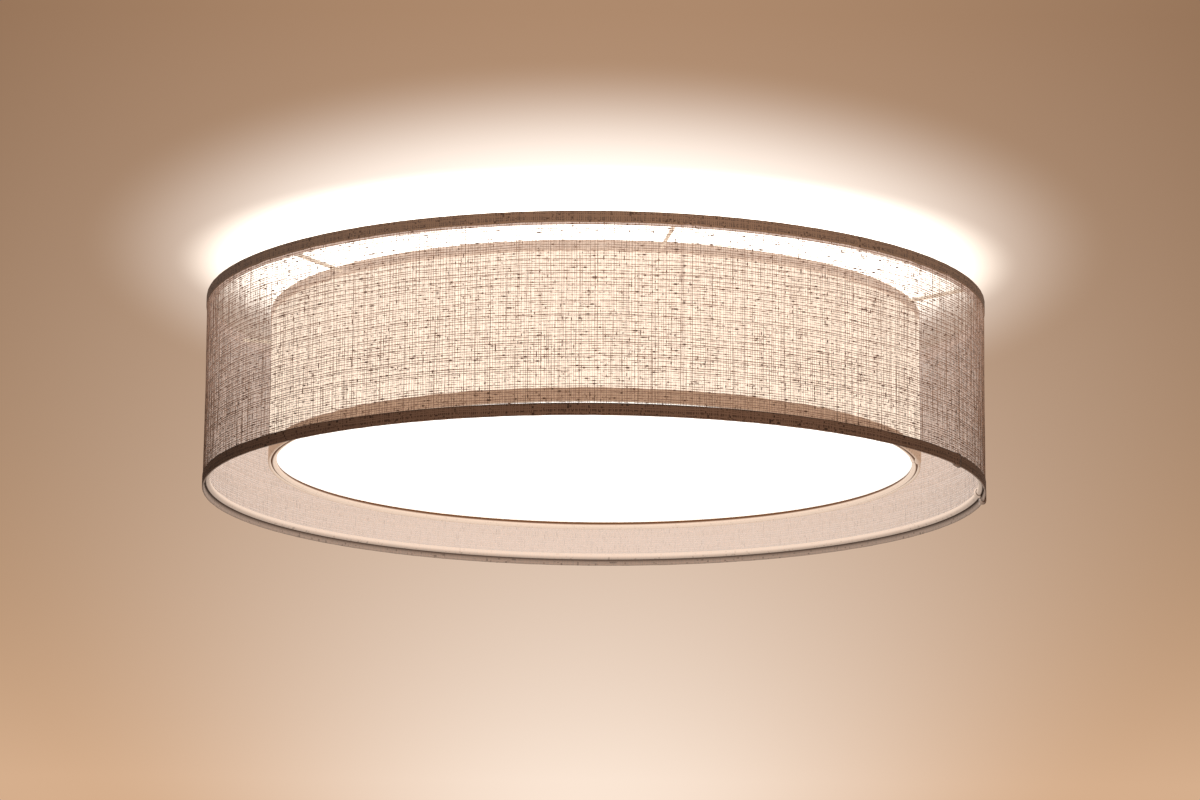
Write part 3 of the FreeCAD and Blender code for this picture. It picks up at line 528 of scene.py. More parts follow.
@dataclass(frozen=True)
class LitOpal:
    """Opal plastic with a lamp behind it: milky, even light that is a little dimmer at its rim."""

    name: str
    colour: str
    light: str
    rim_light: str
    strength: float
    middle: float
    reach: float

    def make(self) -> Material:
        """Builds the material: the light goes from one colour to the other with distance from the axis.

        Returns:
            The material.
        """
        recipe = Recipe(self.name)
        place = recipe.millimetres()
        flat = recipe.add("VectorMath:MULTIPLY", place, LEVEL)
        away = recipe.add("VectorMath:LENGTH", flat, out="Value")
        rim = recipe.add("MapRange", away, self.middle, self.reach, 0.0, 1.0)
        haze = recipe.add("TexNoise", {"Vector": place, "Scale": 0.012, "Detail": 2.0})
        uneven = recipe.add("Math:MULTIPLY_ADD", haze, 0.2, -0.1)
        share = recipe.add("Math:ADD", rim, uneven, use_clamp=True)
        light = recipe.add("Mix", {0: share, 6: self.light, 7: self.rim_light}, **BLEND)
        return recipe.surface(
            Base_Color=self.colour,
            Roughness=0.32,
            Emission_Color=light,
            Emission_Strength=self.strength,
        )


# Sheer curtain weave of slubby linen yarn, unlined: dark slubs float in a see-through haze. Its
# threads lie 0.8 mm apart; they are drawn 1.7 mm apart and more, so that they show in the render.
SHEER_LINEN = Cloth(
    "woven_sheer_linen",
    Threads(1.9, 0.04, 0.06, 5.0, 0.1, 3.7),
    Threads(1.7, 0.17, 0.42, 5.0, 0.08, 41.3),
    thread="#7A5B49",
    slub="#43291B",
    glow_outside="#7B6051",
    glow_inside="#E8DACF",
    glow=0.8,
    open_weave=True,
)

# The same cloth's upright yarn, spun thick and thin: pale where it is thin, nearly brown at a slub. It
# is set 1.2 mm apart instead of 0.8 mm, so that single threads show in the render.
LINEN_YARN = Yarn("spun_linen_yarn", "#7F614E", "#38251A", "#7B6051", "#E8DACF", 0.8, 6.0)

# The same yarn in a closer weave over a white film: lit from within, it glows like warm paper. Its
# threads too lie 0.8 mm apart and are drawn coarser, 1.6 mm apart.
LINED_LINEN = Cloth(
    "woven_linen_on_film",
    Threads(1.6, 0.3, 0.4, 5.0, 0.06, 12.9),
    Threads(1.6, 0.3, 0.4, 5.0, 0.06, 57.1),
    thread="#A08878",
    slub="#6B5142",
    glow_outside="#FFEEDA",
    glow_inside="#FFF4E4",
    glow=1.1,
)

# Linen tape, folded and glued: dense and dark from outside; on the lamps' side it glows with painted
# lamplight. Its threads lie 0.8 mm apart and are drawn 1.5 mm apart, so that they show in the render.
OUTER_TOP_TAPE = Cloth(
    "folded_linen_tape",
    Threads(1.5, 0.5, 0.7, 4.0, 0.1, 23.1),
    Threads(1.5, 0.5, 0.7, 4.0, 0.1, 71.9),
    thread="#8C6A53",
    slub="#4A3224",
    glow_outside="#000000",
    glow_inside="#E8D6C9",
    glow=0.76,
    gap_shade=0.8,
)

# The lower edge's tape has one more layer. Its thread colour is darker than the upper tape's: painted shade
# on the lower edge.
OUTER_BOTTOM_TAPE = Cloth(
    "doubled_linen_tape",
    Threads(1.5, 0.5, 0.7, 4.0, 0.1, 27.3),
    Threads(1.5, 0.5, 0.7, 4.0, 0.1, 77.1),
    thread="#6E5141",
    slub="#332117",
    glow_outside="#000000",
    glow_inside="#FFE8D4",
    glow=0.84,
    gap_shade=0.8,
)

# The inner drum's tapes lie on the lined cloth, so some of the lamps' light comes through them.
INNER_TOP_TAPE = Cloth(
    "folded_linen_tape_over_glow",
    Threads(0.9, 0.5, 0.6, 4.0, 0.1, 31.7),
    Threads(0.9, 0.5, 0.6, 4.0, 0.1, 83.3),
    thread="#7A6050",
    slub="#57371F",
    glow_outside="#DEC8B6",
    glow_inside="#F4D9C2",
    glow=0.95,
)

# At the bottom the tape is folded twice, and less light comes through.
INNER_BOTTOM_TAPE = Cloth(
    "twice_folded_linen_tape",
    Threads(0.9, 0.5, 0.6, 4.0, 0.1, 37.7),
    Threads(0.9, 0.5, 0.6, 4.0, 0.1, 89.3),
    thread="#7A6050",
    slub="#57371F",
    glow_outside="#AD8F77",
    glow_inside="#F6E0CC",
    glow=0.86,
)

# Opal acrylic sheet, laser cut: an even white glow of painted lamplight, dimmer at the rim, with no lamp to
# be seen through it.
OPAL_SHEET = LitOpal("cut_opal_acrylic", "#F4F1EA", "#FFFFFF", "#FFFDF8", 1.0, 190, 250)

# Opal polycarbonate, blow moulded: the lamps' globes, brightest of all.
OPAL_GLOBE = LitOpal("blown_opal_polycarbonate", "#F2EEE6", "#FFFBF2", "#FFF6E6", 1.6, 60, 200)

# White PVC film pressed onto the cloth: from above, a plain lining that glows with painted lamplight.
LINING_FILM = LitOpal("pressed_white_film", "#EFE8DC", "#FFEFD9", "#FFE9CF", 0.85, 200, 260)

# Powder coat, baked: a soft gloss with orange peel that is just visible.
WHITE_POWDER = Smooth("baked_white_powder", "#ECEAE4", "#E2DFD7", 0.42, 1.4, 0.05)

# Dip lacquer on drawn wire: white, glossier than powder, slightly uneven.
WHITE_LACQUER = Smooth("dipped_white_lacquer", "#E9E3D8", "#D9D0C2", 0.35, 1.2, 0.04, coat=0.3)

# The same lacquer on the wires between the two drums, with the lamps' light all round them.
LIT_LACQUER = replace(WHITE_LACQUER, name="dipped_white_lacquer_in_lamplight", lamplight=0.42)

# Polyamide for the terminals and lampholders, moulded with a fine spark texture.
WHITE_POLYAMIDE = Smooth("moulded_white_polyamide", "#E4E0D6", "#D8D3C7", 0.5, 0.5, 0.03, inner_light=0.1)

# The lamps' housings: moulded ABS, smoother and whiter than polyamide.
WHITE_ABS = Smooth("moulded_white_abs", "#F0EEE9", "#E6E3DC", 0.36, 0.7, 0.02, inner_light=0.1)

# Steatite, pressed and glazed: cold white with a wet gloss.
GLAZED_STEATITE = Smooth("glazed_steatite", "#EDEAE2", "#DAD5C9", 0.22, 0.9, 0.03, coat=0.8)

# PVC wire insulation, extruded: satin brown for live and blue for neutral.
BROWN_PVC = Smooth("extruded_brown_pvc", "#5C3A22", "#4C2F1B", 0.45, 0.6, 0.02)
BLUE_PVC = Smooth("extruded_blue_pvc", "#2E5F9E", "#264F86", 0.45, 0.6, 0.02)

# Steel with blue zinc plating: grey, faintly clouded.
ZINC_STEEL = PlatedMetal("zinc_plated_steel", "#C9CCD0", "#A9ADB2", 0.42, 12.0)

# Brass with nickel plating, barrel polished: warm and mirror-like.
NICKEL_BRASS = PlatedMetal("nickel_plated_brass", "#D8D2C6", "#BDB6A9", 0.24, 9.0)

# Turned brass: yellow, with tool lines too fine to see.
TURNED_BRASS = PlatedMetal("turned_brass", "#D9B667", "#B8934A", 0.32, 7.0)

# Drawn aluminium, bare: the lamps' screw caps, soft grey with handling marks.
DRAWN_ALUMINIUM = PlatedMetal("drawn_aluminium", "#D3D3D2", "#B4B4B3", 0.3, 6.0)


# ---------------------------------------------------------------- the shade


class Lap(Enum):
    """Where a cloth's second layer lies at its glued seam."""

    INSIDE = -1
    OUTSIDE = 1


class Edge(Enum):
    """Which edge of a drum a hem goes round. The number is the way back into the drum."""

    TOP = -1
    BOTTOM = 1


@dataclass
class ClothDrum:
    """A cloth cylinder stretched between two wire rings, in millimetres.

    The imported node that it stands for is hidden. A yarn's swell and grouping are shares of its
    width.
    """

    name: str
    node: str
    radius: float
    top: float
    bottom: float
    lap: Lap
    seam_angle: float
    seed: int
    wall: float = 0.5
    lap_width: float = 12.0
    waist: float = 0.35
    pucker: float = 0.22
    pucker_fade: float = 14.0
    step_run: float = 7.0
    edge_gap: float = 0.7
    # painted shade along the cloth's two cut ends
    cut_end_shade: float = 0.6
    rows: int = 40
    columns: int = 900
    yarn_pitch: float = 1.2
    yarn_width: float = 0.16
    yarn_swell: float = 0.5
    yarn_grouping: float = 0.45
    yarn_lean: float = 0.4
    yarn_depth: float = 0.04
    yarn_rows: int = 20

    def strip(self, columns: int, rows: int) -> tuple[np.ndarray, np.ndarray, np.ndarray, np.ndarray]:
        """Works out how far the cloth strays from a plain cylinder.

        It is drawn in at a waist that is deepest half way up, and puckers fade away from the hems.
        Over its last stretch it steps in or out by a little more than its own thickness and lies on
        the first layer.

        Args:
            columns: places round the drum.
            rows: places up the drum.

        Returns:
            Angles, shares of the height, heights, and millimetres outwards for each angle and height.
        """
        overlap = self.lap_width / self.radius
        start = np.radians(self.seam_angle) - overlap / 2
        angles = np.linspace(start, start + 2 * np.pi + overlap, columns)
        before_end = (angles[-1] - angles) * self.radius
        step = ramp(-before_end, -self.lap_width - self.step_run, -self.lap_width) * self.wall * 1.15

        up = np.linspace(0, 1, rows)
        height = self.bottom + self.edge_gap + (self.top - self.bottom - 2 * self.edge_gap) * up
        from_hem = np.minimum(up, 1 - up) * (self.top - self.bottom)
        pucker = wander(angles, self.seed, (30, 120), self.pucker)[:, None]
        pucker = pucker * np.exp(-from_hem / self.pucker_fade)[None]
        slack = wander(angles, self.seed + 1, (3, 9), self.waist * 0.4)[:, None]
        hollow = (self.waist + slack) * np.sin(np.pi * up)[None] ** 2
        return angles, up, height, step[:, None] * self.lap.value + pucker - hollow

    def build(self, finish: Cloth) -> Piece:
        """Makes the cloth as one closed strip whose end lies over its start.

        Args:
            finish: the cloth's weave.

        Returns:
            The cloth.
        """
        angles, up, height, lift = self.strip(self.columns, self.rows)
        face = np.stack([np.full(self.rows, self.radius), height], axis=1)
        back = np.stack([np.full(self.rows, self.radius - self.wall), height[::-1]], axis=1)
        section = np.concatenate([face, back])
        outwards = np.tile([1.0, 0.0], (2 * self.rows, 1))
        points = hoop(section, outwards, angles, np.concatenate([lift, lift[:, ::-1]], axis=1))

        along = np.broadcast_to((angles * self.radius)[:, None], points.shape[:2])
        across = np.broadcast_to(section[None, :, 1], points.shape[:2])
        # painted shade: a darker line along the cloth's two cut ends
        end_shade = np.zeros(points.shape[:2])
        end_shade[[0, -1]] = self.cut_end_shade
        place = np.stack([along, across, end_shade], axis=-1)
        side = np.broadcast_to(np.repeat([0.0, 1.0], self.rows)[None], points.shape[:2])
        attributes = {"thread_mm": place, "lamp_side": side}
        piece = make_piece(self.name, points, (False, True), finish.make(), attributes, caps=True)
        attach(piece, "fixture")
        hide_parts(self.node)
        return piece

    def yarns(self, finish: Yarn) -> Piece:
        """Makes the upright threads as three-sided bars, with a ridge outwards and a flat side in.

        Each is as thick as the yarn times a random number of its own at each height, and leans a
        little to either side on its way up. The random numbers are smoothed: each is its neighbours
        plus twice itself, over the root of six, which keeps their spread.

        Args:
            finish: the yarn.

        Returns:
            The threads, as one piece.
        """
        count = int(round((2 * np.pi * self.radius + self.lap_width) / self.yarn_pitch))
        angles, up, height, lift = self.strip(count, self.yarn_rows)
        chance = np.random.default_rng(self.seed + 7)
        rough = chance.normal(size=(count, self.yarn_rows + 2))
        swell = 1 + self.yarn_swell * (rough[:, :-2] + 2 * rough[:, 1:-1] + rough[:, 2:]) / 2.45
        grouped = 1 + wander(angles, self.seed + 9, (150, 420), self.yarn_grouping)[:, None]
        swell = np.clip(swell * grouped * chance.uniform(0.75, 1.25, (count, 1)), 0.3, 2.4)
        lean = wander(angles, self.seed + 8, (20, 60), self.yarn_lean)[:, None] * np.sin(2 * np.pi * up)[None]
        shift = chance.uniform(-0.45, 0.45, (count, 1)) * self.yarn_pitch + lean
        thick = self.yarn_width * swell
        corners_out = np.array([0.5, -0.4, -0.4])
        corners_side = np.array([0.0, 0.5, -0.5])
        middle = self.radius - self.yarn_depth + lift[..., None]
        distance = middle + corners_out * thick[..., None]
        turn = angles[:, None, None] + (shift[..., None] + corners_side * thick[..., None]) / self.radius
        tall = np.broadcast_to(height[None, :, None], distance.shape)
        points = np.stack([distance * np.cos(turn), distance * np.sin(turn), tall], axis=-1)
        number = np.broadcast_to(np.arange(count)[:, None, None] * APART, distance.shape)
        place = np.stack([number, tall, np.zeros_like(tall)], axis=-1)
        piece = make_piece(f"{self.name}_yarns", points, (False, True), finish.make(), {"thread_mm": place})
        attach(piece, "fixture")
        return piece

    def flat_size(self) -> tuple[float, float]:
        """The cloth's height and length before it was rolled up, in metres."""
        return (self.top - self.bottom - 1.0) * MM, (2 * np.pi * self.radius + self.lap_width) * MM


@dataclass
class HemTape:
    """Cloth tape folded over a drum's edge and rolled round its wire ring, in millimetres.

    Its section has so many points on the band outside, the fold, the leg inside and the roll. The
    lights say how strongly the lamps can light a place: 1 is as strongly as the roll's top.
    """

    BAND, FOLD, LEG, ROLL = 9, 7, 6, 25

    which: str
    edge: Edge
    drum_radius: float
    drum_edge: float
    width: float
    inset: float
    ring_radius: float
    seam_angle: float
    seed: int
    roll: float = 2.3
    roll_turn: float = 318.0
    wall: float = 0.4
    lap: float = 8.0
    lap_run: float = 4.0
    gap: float = 0.3
    fold_gap: float = 0.2
    ragged: float = 0.3
    dent: float = 0.07
    low_light: float = 0.8
    lip_light: float = 0.6
    band_light: float = 0.0
    edge_light: float = 0.0
    fold_light: float = 0.0
    # painted shade in the folds either side of the roll: degrees round the roll where the upper one fades out
    # and the lower one sets in
    upper_crease_shade: tuple[float, float] = (60.0, 90.0)
    lower_crease_shade: tuple[float, float] = (272.0, 296.0)
    end_layers: int = 1
    tail_angle: float | None = None
    tail: float = 8.0
    tail_swell: float = 1.2
    columns: int = 520

    @property
    def name(self) -> str:
        """The tape's own name."""
        return f"{self.which}_tape"

    def middle_line(self) -> tuple[np.ndarray, np.ndarray, np.ndarray]:
        """Draws the tape's line in section, from its free edge outside to its end on the roll.

        It runs straight down the outside, turns round the cloth's edge on a half circle, goes back
        up inside and then round the ring's wire on most of a circle.

        Returns:
            Distance and height of each point, how strongly the lamps can light each, and how much
            painted shade each gets in the folds either side of the roll, at a lower edge.
        """
        outside = self.drum_radius + self.gap
        inside = self.ring_radius + self.roll
        fold = (outside - inside) / 2
        back = self.edge.value
        turn_at = fold + self.fold_gap
        on_band, on_leg = np.arange(float(self.BAND)), np.arange(float(self.LEG))
        band = np.stack([np.full(self.BAND, outside), np.linspace(self.width, turn_at, self.BAND)], axis=1)
        turn = half_turn((outside - fold, turn_at), fold, 0, -180, self.FOLD + 2)[1:-1]
        leg = np.stack([np.full(self.LEG, inside), np.linspace(turn_at, self.inset, self.LEG)], axis=1)
        wire = half_turn((self.ring_radius, self.inset), self.roll, 0, self.roll_turn, self.ROLL + 1)[1:]
        line = np.concatenate([band, turn, leg, wire])
        band_lit = self.band_light + self.edge_light * (1 - ramp(on_band, 0, 5))
        band_lit = np.maximum(band_lit, self.fold_light * ramp(on_band, 4, 8))
        fold_lit = np.linspace(max(self.band_light, self.fold_light), self.lip_light, self.FOLD)
        leg_lit, roll_lit = np.full(self.LEG, self.lip_light), np.ones(self.ROLL)
        lamp_side = np.concatenate([band_lit, fold_lit, leg_lit, roll_lit])
        turned = np.linspace(0, self.roll_turn, self.ROLL + 1)[1:]
        # painted shade: dark in the folds either side of the roll and up the leg towards it, on lower edges
        # only
        roll_shade = np.maximum(1 - ramp(turned, *self.upper_crease_shade), ramp(turned, *self.lower_crease_shade))
        crease_shade = np.concatenate([np.zeros(self.BAND + self.FOLD), ramp(on_leg, 1, 4), roll_shade])
        crease_shade = crease_shade * (self.edge is Edge.BOTTOM)
        line[:, 1] = self.drum_edge + back * line[:, 1]
        return line, lamp_side, crease_shade

    def wrap(self, name: str, finish: Cloth, angles: np.ndarray, lift: np.ndarray, on_roll: float) -> Piece:
        """Carries the tape's section round the ring, from one cut end to the other.

        Args:
            name: the piece's name.
            finish: the tape's weave.
            angles: radians round the ring.
            lift: millimetres off its usual place, one for each angle: outwards on the band and the
                fold, and away from the wire on the roll.
            on_roll: how much of the lift the roll has.

        Returns:
            The piece of tape.
        """
        line, lamp_side, crease_shade = self.middle_line()
        normals = normals_of(line) * -self.edge.value
        section = np.concatenate([line + normals * self.wall / 2, (line - normals * self.wall / 2)[::-1]])
        facing = np.concatenate([normals, normals[::-1]])
        lit = np.concatenate([lamp_side, lamp_side[::-1]])
        # painted light and shade: faces that look downwards take low_light times the lamplight
        lit = lit * (1 - (1 - self.low_light) * np.clip(-facing[:, 1] * 1.2, 0, 1))
        length = run_lengths(line)
        length = np.concatenate([length, length[::-1]])
        by_leg = np.linspace(-1.0, on_roll, self.LEG)
        share = np.concatenate([np.full(self.BAND + self.FOLD, -1.0), by_leg, np.full(self.ROLL, on_roll)])
        share = np.concatenate([share, share[::-1]])
        points = hoop(section, facing, angles, lift[:, None] * share)
        ragged = wander(angles, self.seed + 2, (12, 90), self.ragged)[:, None]
        free_edge = np.clip(1 - length / (self.width * 0.6), 0, 1)[None]
        points[..., 2] += ragged * free_edge * self.edge.value

        along = np.broadcast_to((angles * self.drum_radius)[:, None], points.shape[:2])
        crease_shades = np.broadcast_to(np.concatenate([crease_shade, crease_shade[::-1]])[None], along.shape)
        place = np.stack([along, np.broadcast_to(length[None], along.shape), crease_shades], axis=-1)
        # painted shade: the cut ends get none of the painted lamplight
        by_row = np.ones(len(angles))
        by_row[[0, -1]] = 0.0
        attributes = {"thread_mm": place, "lamp_side": by_row[:, None] * lit[None]}
        piece = make_piece(name, points, (False, True), finish.make(), attributes, caps=True)
        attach(piece, "fixture")
        return piece

    def build(self, finish: Cloth) -> list[Piece]:
        """Makes the tape as one closed strip whose folded end lies over its start, and its tucked tail.

        The end steps out by its own thickness for each layer of it. The tail is a short length that
        swells over the roll as half a cosine wave with a ripple on it.

        Args:
            finish: the tape's weave.

        Returns:
            The tape, and its tail where it has one.
        """
        turn = self.lap / self.drum_radius
        start = np.radians(self.seam_angle) - turn / 2
        angles = np.linspace(start, start + 2 * np.pi + turn, self.columns)
        before_end = (angles[-1] - angles) * self.drum_radius
        lift = ramp(-before_end, -self.lap - self.lap_run, -self.lap) * self.wall * self.end_layers * 1.05
        lift = lift + wander(angles, self.seed, (40, 150), self.dent)
        tape = self.wrap(self.name, finish, angles, lift, 0.3)
        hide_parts(f"{self.which}_hem")
        pieces = [tape]
        if self.tail_angle is not None:
            spread = np.linspace(-0.5, 0.5, 18)
            angles = np.radians(self.tail_angle) + spread * self.tail / self.drum_radius
            ripple = 1 + 0.4 * np.sin(23 * spread)
            lift = self.wall * 1.1 + self.tail_swell * np.cos(np.pi * spread) ** 0.7 * ripple
            pieces.append(self.wrap(f"{self.name}_tail", finish, angles, lift, 0.8))
        return pieces


OUTER_DRUM = {"radius": 300, "top": -28, "bottom": -178, "lap": Lap.INSIDE, "seam_angle": 4, "seed": 5}
INNER_DRUM = {"radius": 250, "top": -37, "bottom": -157, "lap": Lap.OUTSIDE, "seam_angle": -8, "seed": 11}
INNER_DRUM |= {"waist": 0.15}


@dataclass
class Shade:
    """Both drums with their hems, and the disc that closes the inner one."""

    outer: ClothDrum = field(default_factory=lambda: ClothDrum("outer_cloth", "outer_fabric", **OUTER_DRUM))
    inner: ClothDrum = field(default_factory=lambda: ClothDrum("inner_cloth", "inner_fabric", **INNER_DRUM))
    disc_radius: float = 248.2
    disc_low: float = -151.3
    disc_wall: float = 2.0
    disc_start: float = 0.4
    disc_rows: int = 24
    disc_columns: int = 240

    def tapes(self) -> list[tuple[HemTape, Cloth]]:
        """Sizes the hem tapes by the drums that they edge.

        Returns:
            The four tapes, each with its weave.
        """
        wide = {"drum_radius": self.outer.radius, "ring_radius": 296.9, "inset": 7.2}
        narrow = {"drum_radius": self.inner.radius, "ring_radius": 246.4}
        upper = {"edge": Edge.TOP, "width": 8.6, "low_light": 1.25, "lip_light": 1.25}
        lower = {"edge": Edge.BOTTOM, "end_layers": 3}
        outer_top = {"drum_edge": self.outer.top, "seam_angle": 5, "seed": 21, "band_light": 0.05}
        outer_bottom = {"drum_edge": self.outer.bottom, "seam_angle": -26, "seed": 22, "tail_angle": 2.0}
        outer_bottom |= {"width": 8.6, "low_light": 0.5, "lip_light": 0.3}
        inner_top = {"drum_edge": self.inner.top, "seam_angle": -8, "seed": 23, "inset": 4.7}
        inner_top |= {"edge_light": 1.0, "fold_light": 0.8}
        inner_bottom = {"drum_edge": self.inner.bottom, "seam_angle": -9, "seed": 24, "inset": 2.9}
        inner_bottom |= {"width": 10, "low_light": 0.9, "lip_light": 0.9, "upper_crease_shade": (168, 190)}
        return [
            (HemTape("outer_top", **outer_top, **upper, **wide), OUTER_TOP_TAPE),
            (HemTape("outer_bottom", **outer_bottom, **lower, **wide), OUTER_BOTTOM_TAPE),
            (HemTape("inner_top", **inner_top, **upper, **narrow), INNER_TOP_TAPE),
            (HemTape("inner_bottom", **inner_bottom, **lower, **narrow), INNER_BOTTOM_TAPE),
        ]

    def disc(self) -> Piece:
        """Makes the diffuser: a flat round sheet with a softened edge, turned from its half section.

        The half section starts a hair's breadth from the axis and closes on itself there.

        Returns:
            The disc.
        """
        edge = half_turn((0.0, 0.0), self.disc_wall / 2, -90, 90, 9)
        rim = np.stack([self.disc_radius - self.disc_wall / 2 + edge[:, 0], edge[:, 1]], axis=1)
        inwards = np.linspace(self.disc_radius - self.disc_wall, self.disc_start, self.disc_rows)
        low = np.stack([inwards[::-1], np.full(self.disc_rows, -self.disc_wall / 2)], axis=1)
        high = np.stack([inwards, np.full(self.disc_rows, self.disc_wall / 2)], axis=1)
        section = np.concatenate([low, rim, high])
        section[:, 1] += self.disc_low + self.disc_wall / 2
        angles = np.linspace(0, 2 * np.pi, self.disc_columns, endpoint=False)
        points = hoop(section, np.zeros_like(section), angles, np.zeros(self.disc_columns))
        piece = make_piece("opal_disc", points, (True, True), OPAL_SHEET.make())
        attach(piece, "disc")
        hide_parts("diffuser")
        return piece

    def build(self) -> None:
        """Makes the drums, their hems and the disc, and logs their sizes."""
        cloths = {"outer": self.outer.build(SHEER_LINEN), "inner": self.inner.build(LINED_LINEN)}
        yarns = self.outer.yarns(LINEN_YARN)
        for tape, weave in self.tapes():
            tape.build(weave)
            LOG.info("%s: %.1f mm wide on a ring of radius %.1f mm", tape.name, tape.width, tape.ring_radius)
        for which, drum in (("outer", self.outer), ("inner", self.inner)):
            flat = drum.flat_size()
            LOG.info("%s: radius %.1f mm, seam at %.0f degrees", drum.name, drum.radius, drum.seam_angle)
        self.disc()
        LOG.info("opal_disc: radius %.1f mm", self.disc_radius)


# ---------------------------------------------------------------- the lamps


@dataclass
class LampCaps:
    """The rolled screw caps of the three lamps, in millimetres along and away from each lamp's axis."""

    azimuths: tuple[float, ...] = (90.0, 210.0, 330.0)
    axis_height: float = -75.0
    start: float = 61.6
    end: float = 83.5
    shoulder: float = 2.2
    tip: float = 7.0
    crest: float = 13.1
    root: float = 12.5
    wall: float = 0.3
    pitch: float = 3.6
    lead_in: float = 3.0
    collar: float = 1.5
    rows: int = 110
    columns: int = 60

    def cap(self, number: int, azimuth: float, finish: PlatedMetal) -> Piece:
        """Makes one cap: a cone from the tip to the root, then a wall that waves as a helix.

        The distance from the axis is the mean of crest and root plus half their difference times the
        sine of the turns along the axis less the turn round it. The wave fades at both ends.

        Args:
            number: the lamp's number.
            azimuth: degrees round the light.
            finish: the cap's metal.

        Returns:
            The cap.
        """
        along = np.linspace(self.start, self.end, self.rows)
        round_axis = np.linspace(0, 2 * np.pi, self.columns, endpoint=False)
        past = along - self.start - self.shoulder
        fade = np.clip(np.minimum(past, self.end - along - self.collar) / self.lead_in, 0, 1)[:, None] ** 0.6
        wave = np.sin(2 * np.pi * along[:, None] / self.pitch - round_axis[None])
        outer = self.root + (self.crest - self.root) / 2 * (1 + wave) * fade
        outer = outer + (self.root - self.tip) * np.clip(past / self.shoulder, -1, 0)[:, None]
        radius = np.concatenate([outer, outer[::-1] - self.wall])
        place = np.concatenate([along, along[::-1]])[:, None] * np.ones((1, self.columns))
        turn, side = np.radians(azimuth), radius * np.cos(round_axis)[None]
        x, y = place * np.cos(turn) - side * np.sin(turn), place * np.sin(turn) + side * np.cos(turn)
        z = self.axis_height + radius * np.sin(round_axis)[None]
        piece = make_piece(f"lamp_cap_{number}", np.stack([x, y, z], axis=-1), (True, True), finish.make())
        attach(piece, f"bulb_{number}")
        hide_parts(f"bulb_cap_{number}")
        return piece

    def build(self) -> None:
        """Makes the three caps."""
        for number, azimuth in enumerate(self.azimuths, start=1):
            self.cap(number, azimuth, DRAWN_ALUMINIUM)
            LOG.info("lamp_cap_%d: at %.0f degrees, pitch %.1f mm", number, azimuth, self.pitch)


# ---------------------------------------------------------------- carried-over parts


WIRES = ("spider", "outer_top_ring", "outer_bottom_ring", "inner_top_ring", "inner_bottom_ring")
STEEL = ("mounting_bar", "canopy_studs", "stud_nuts", "terminal_screws", "block_screw", "stem", "holder_nuts")
CARRIED = {
    ZINC_STEEL: STEEL,
    NICKEL_BRASS: ("cap_nut", "thread_sleeve", "bulb_tip"),
    TURNED_BRASS: ("terminal_sleeves", "earth_screw", "earth_washer", "centre_contacts"),
    WHITE_POWDER: ("canopy", "holder_bracket"),
    WHITE_POLYAMIDE: ("terminal_block", "stem_bushes", "holder_cap", "holder_skirt"),
    GLAZED_STEATITE: ("holder_inserts",),
    BROWN_PVC: ("live_leads",),
    BLUE_PVC: ("neutral_leads",),
    OPAL_GLOBE: ("bulb_globe",),
    WHITE_ABS: ("bulb_housing",),
    WHITE_LACQUER: WIRES,
    LIT_LACQUER: ("joining_rods",),
    LINING_FILM: ("inner_liner",),
}


@dataclass
class CarriedParts:
    """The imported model's own pieces that stay in view, each with the finish of its kind."""

    finishes: dict = field(
        default_factory=lambda: {node: finish for finish, nodes in CARRIED.items() for node in nodes}
    )

    def finish_for(self, node: str) -> object | None:
        """The finish whose name is the longest start of the node's name."""
        names = [name for name in self.finishes if node.startswith(name)]
        return self.finishes[max(names, key=len)] if names else None

    def dress(self) -> None:
        """Gives each shown piece its material."""
        made: dict[str, Material] = {}
        for node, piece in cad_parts.items():
            finish = self.finish_for(node)
            if piece.hide_render or finish is None:
                continue
            if finish.name not in made:
                made[finish.name] = finish.make()
            for slot in piece.material_slots:
                slot.material = made[finish.name]
            if not piece.material_slots:
                piece.data.materials.append(made[finish.name])
            LOG.info("%s: %s", node, finish.name)


# ---------------------------------------------------------------- the stage


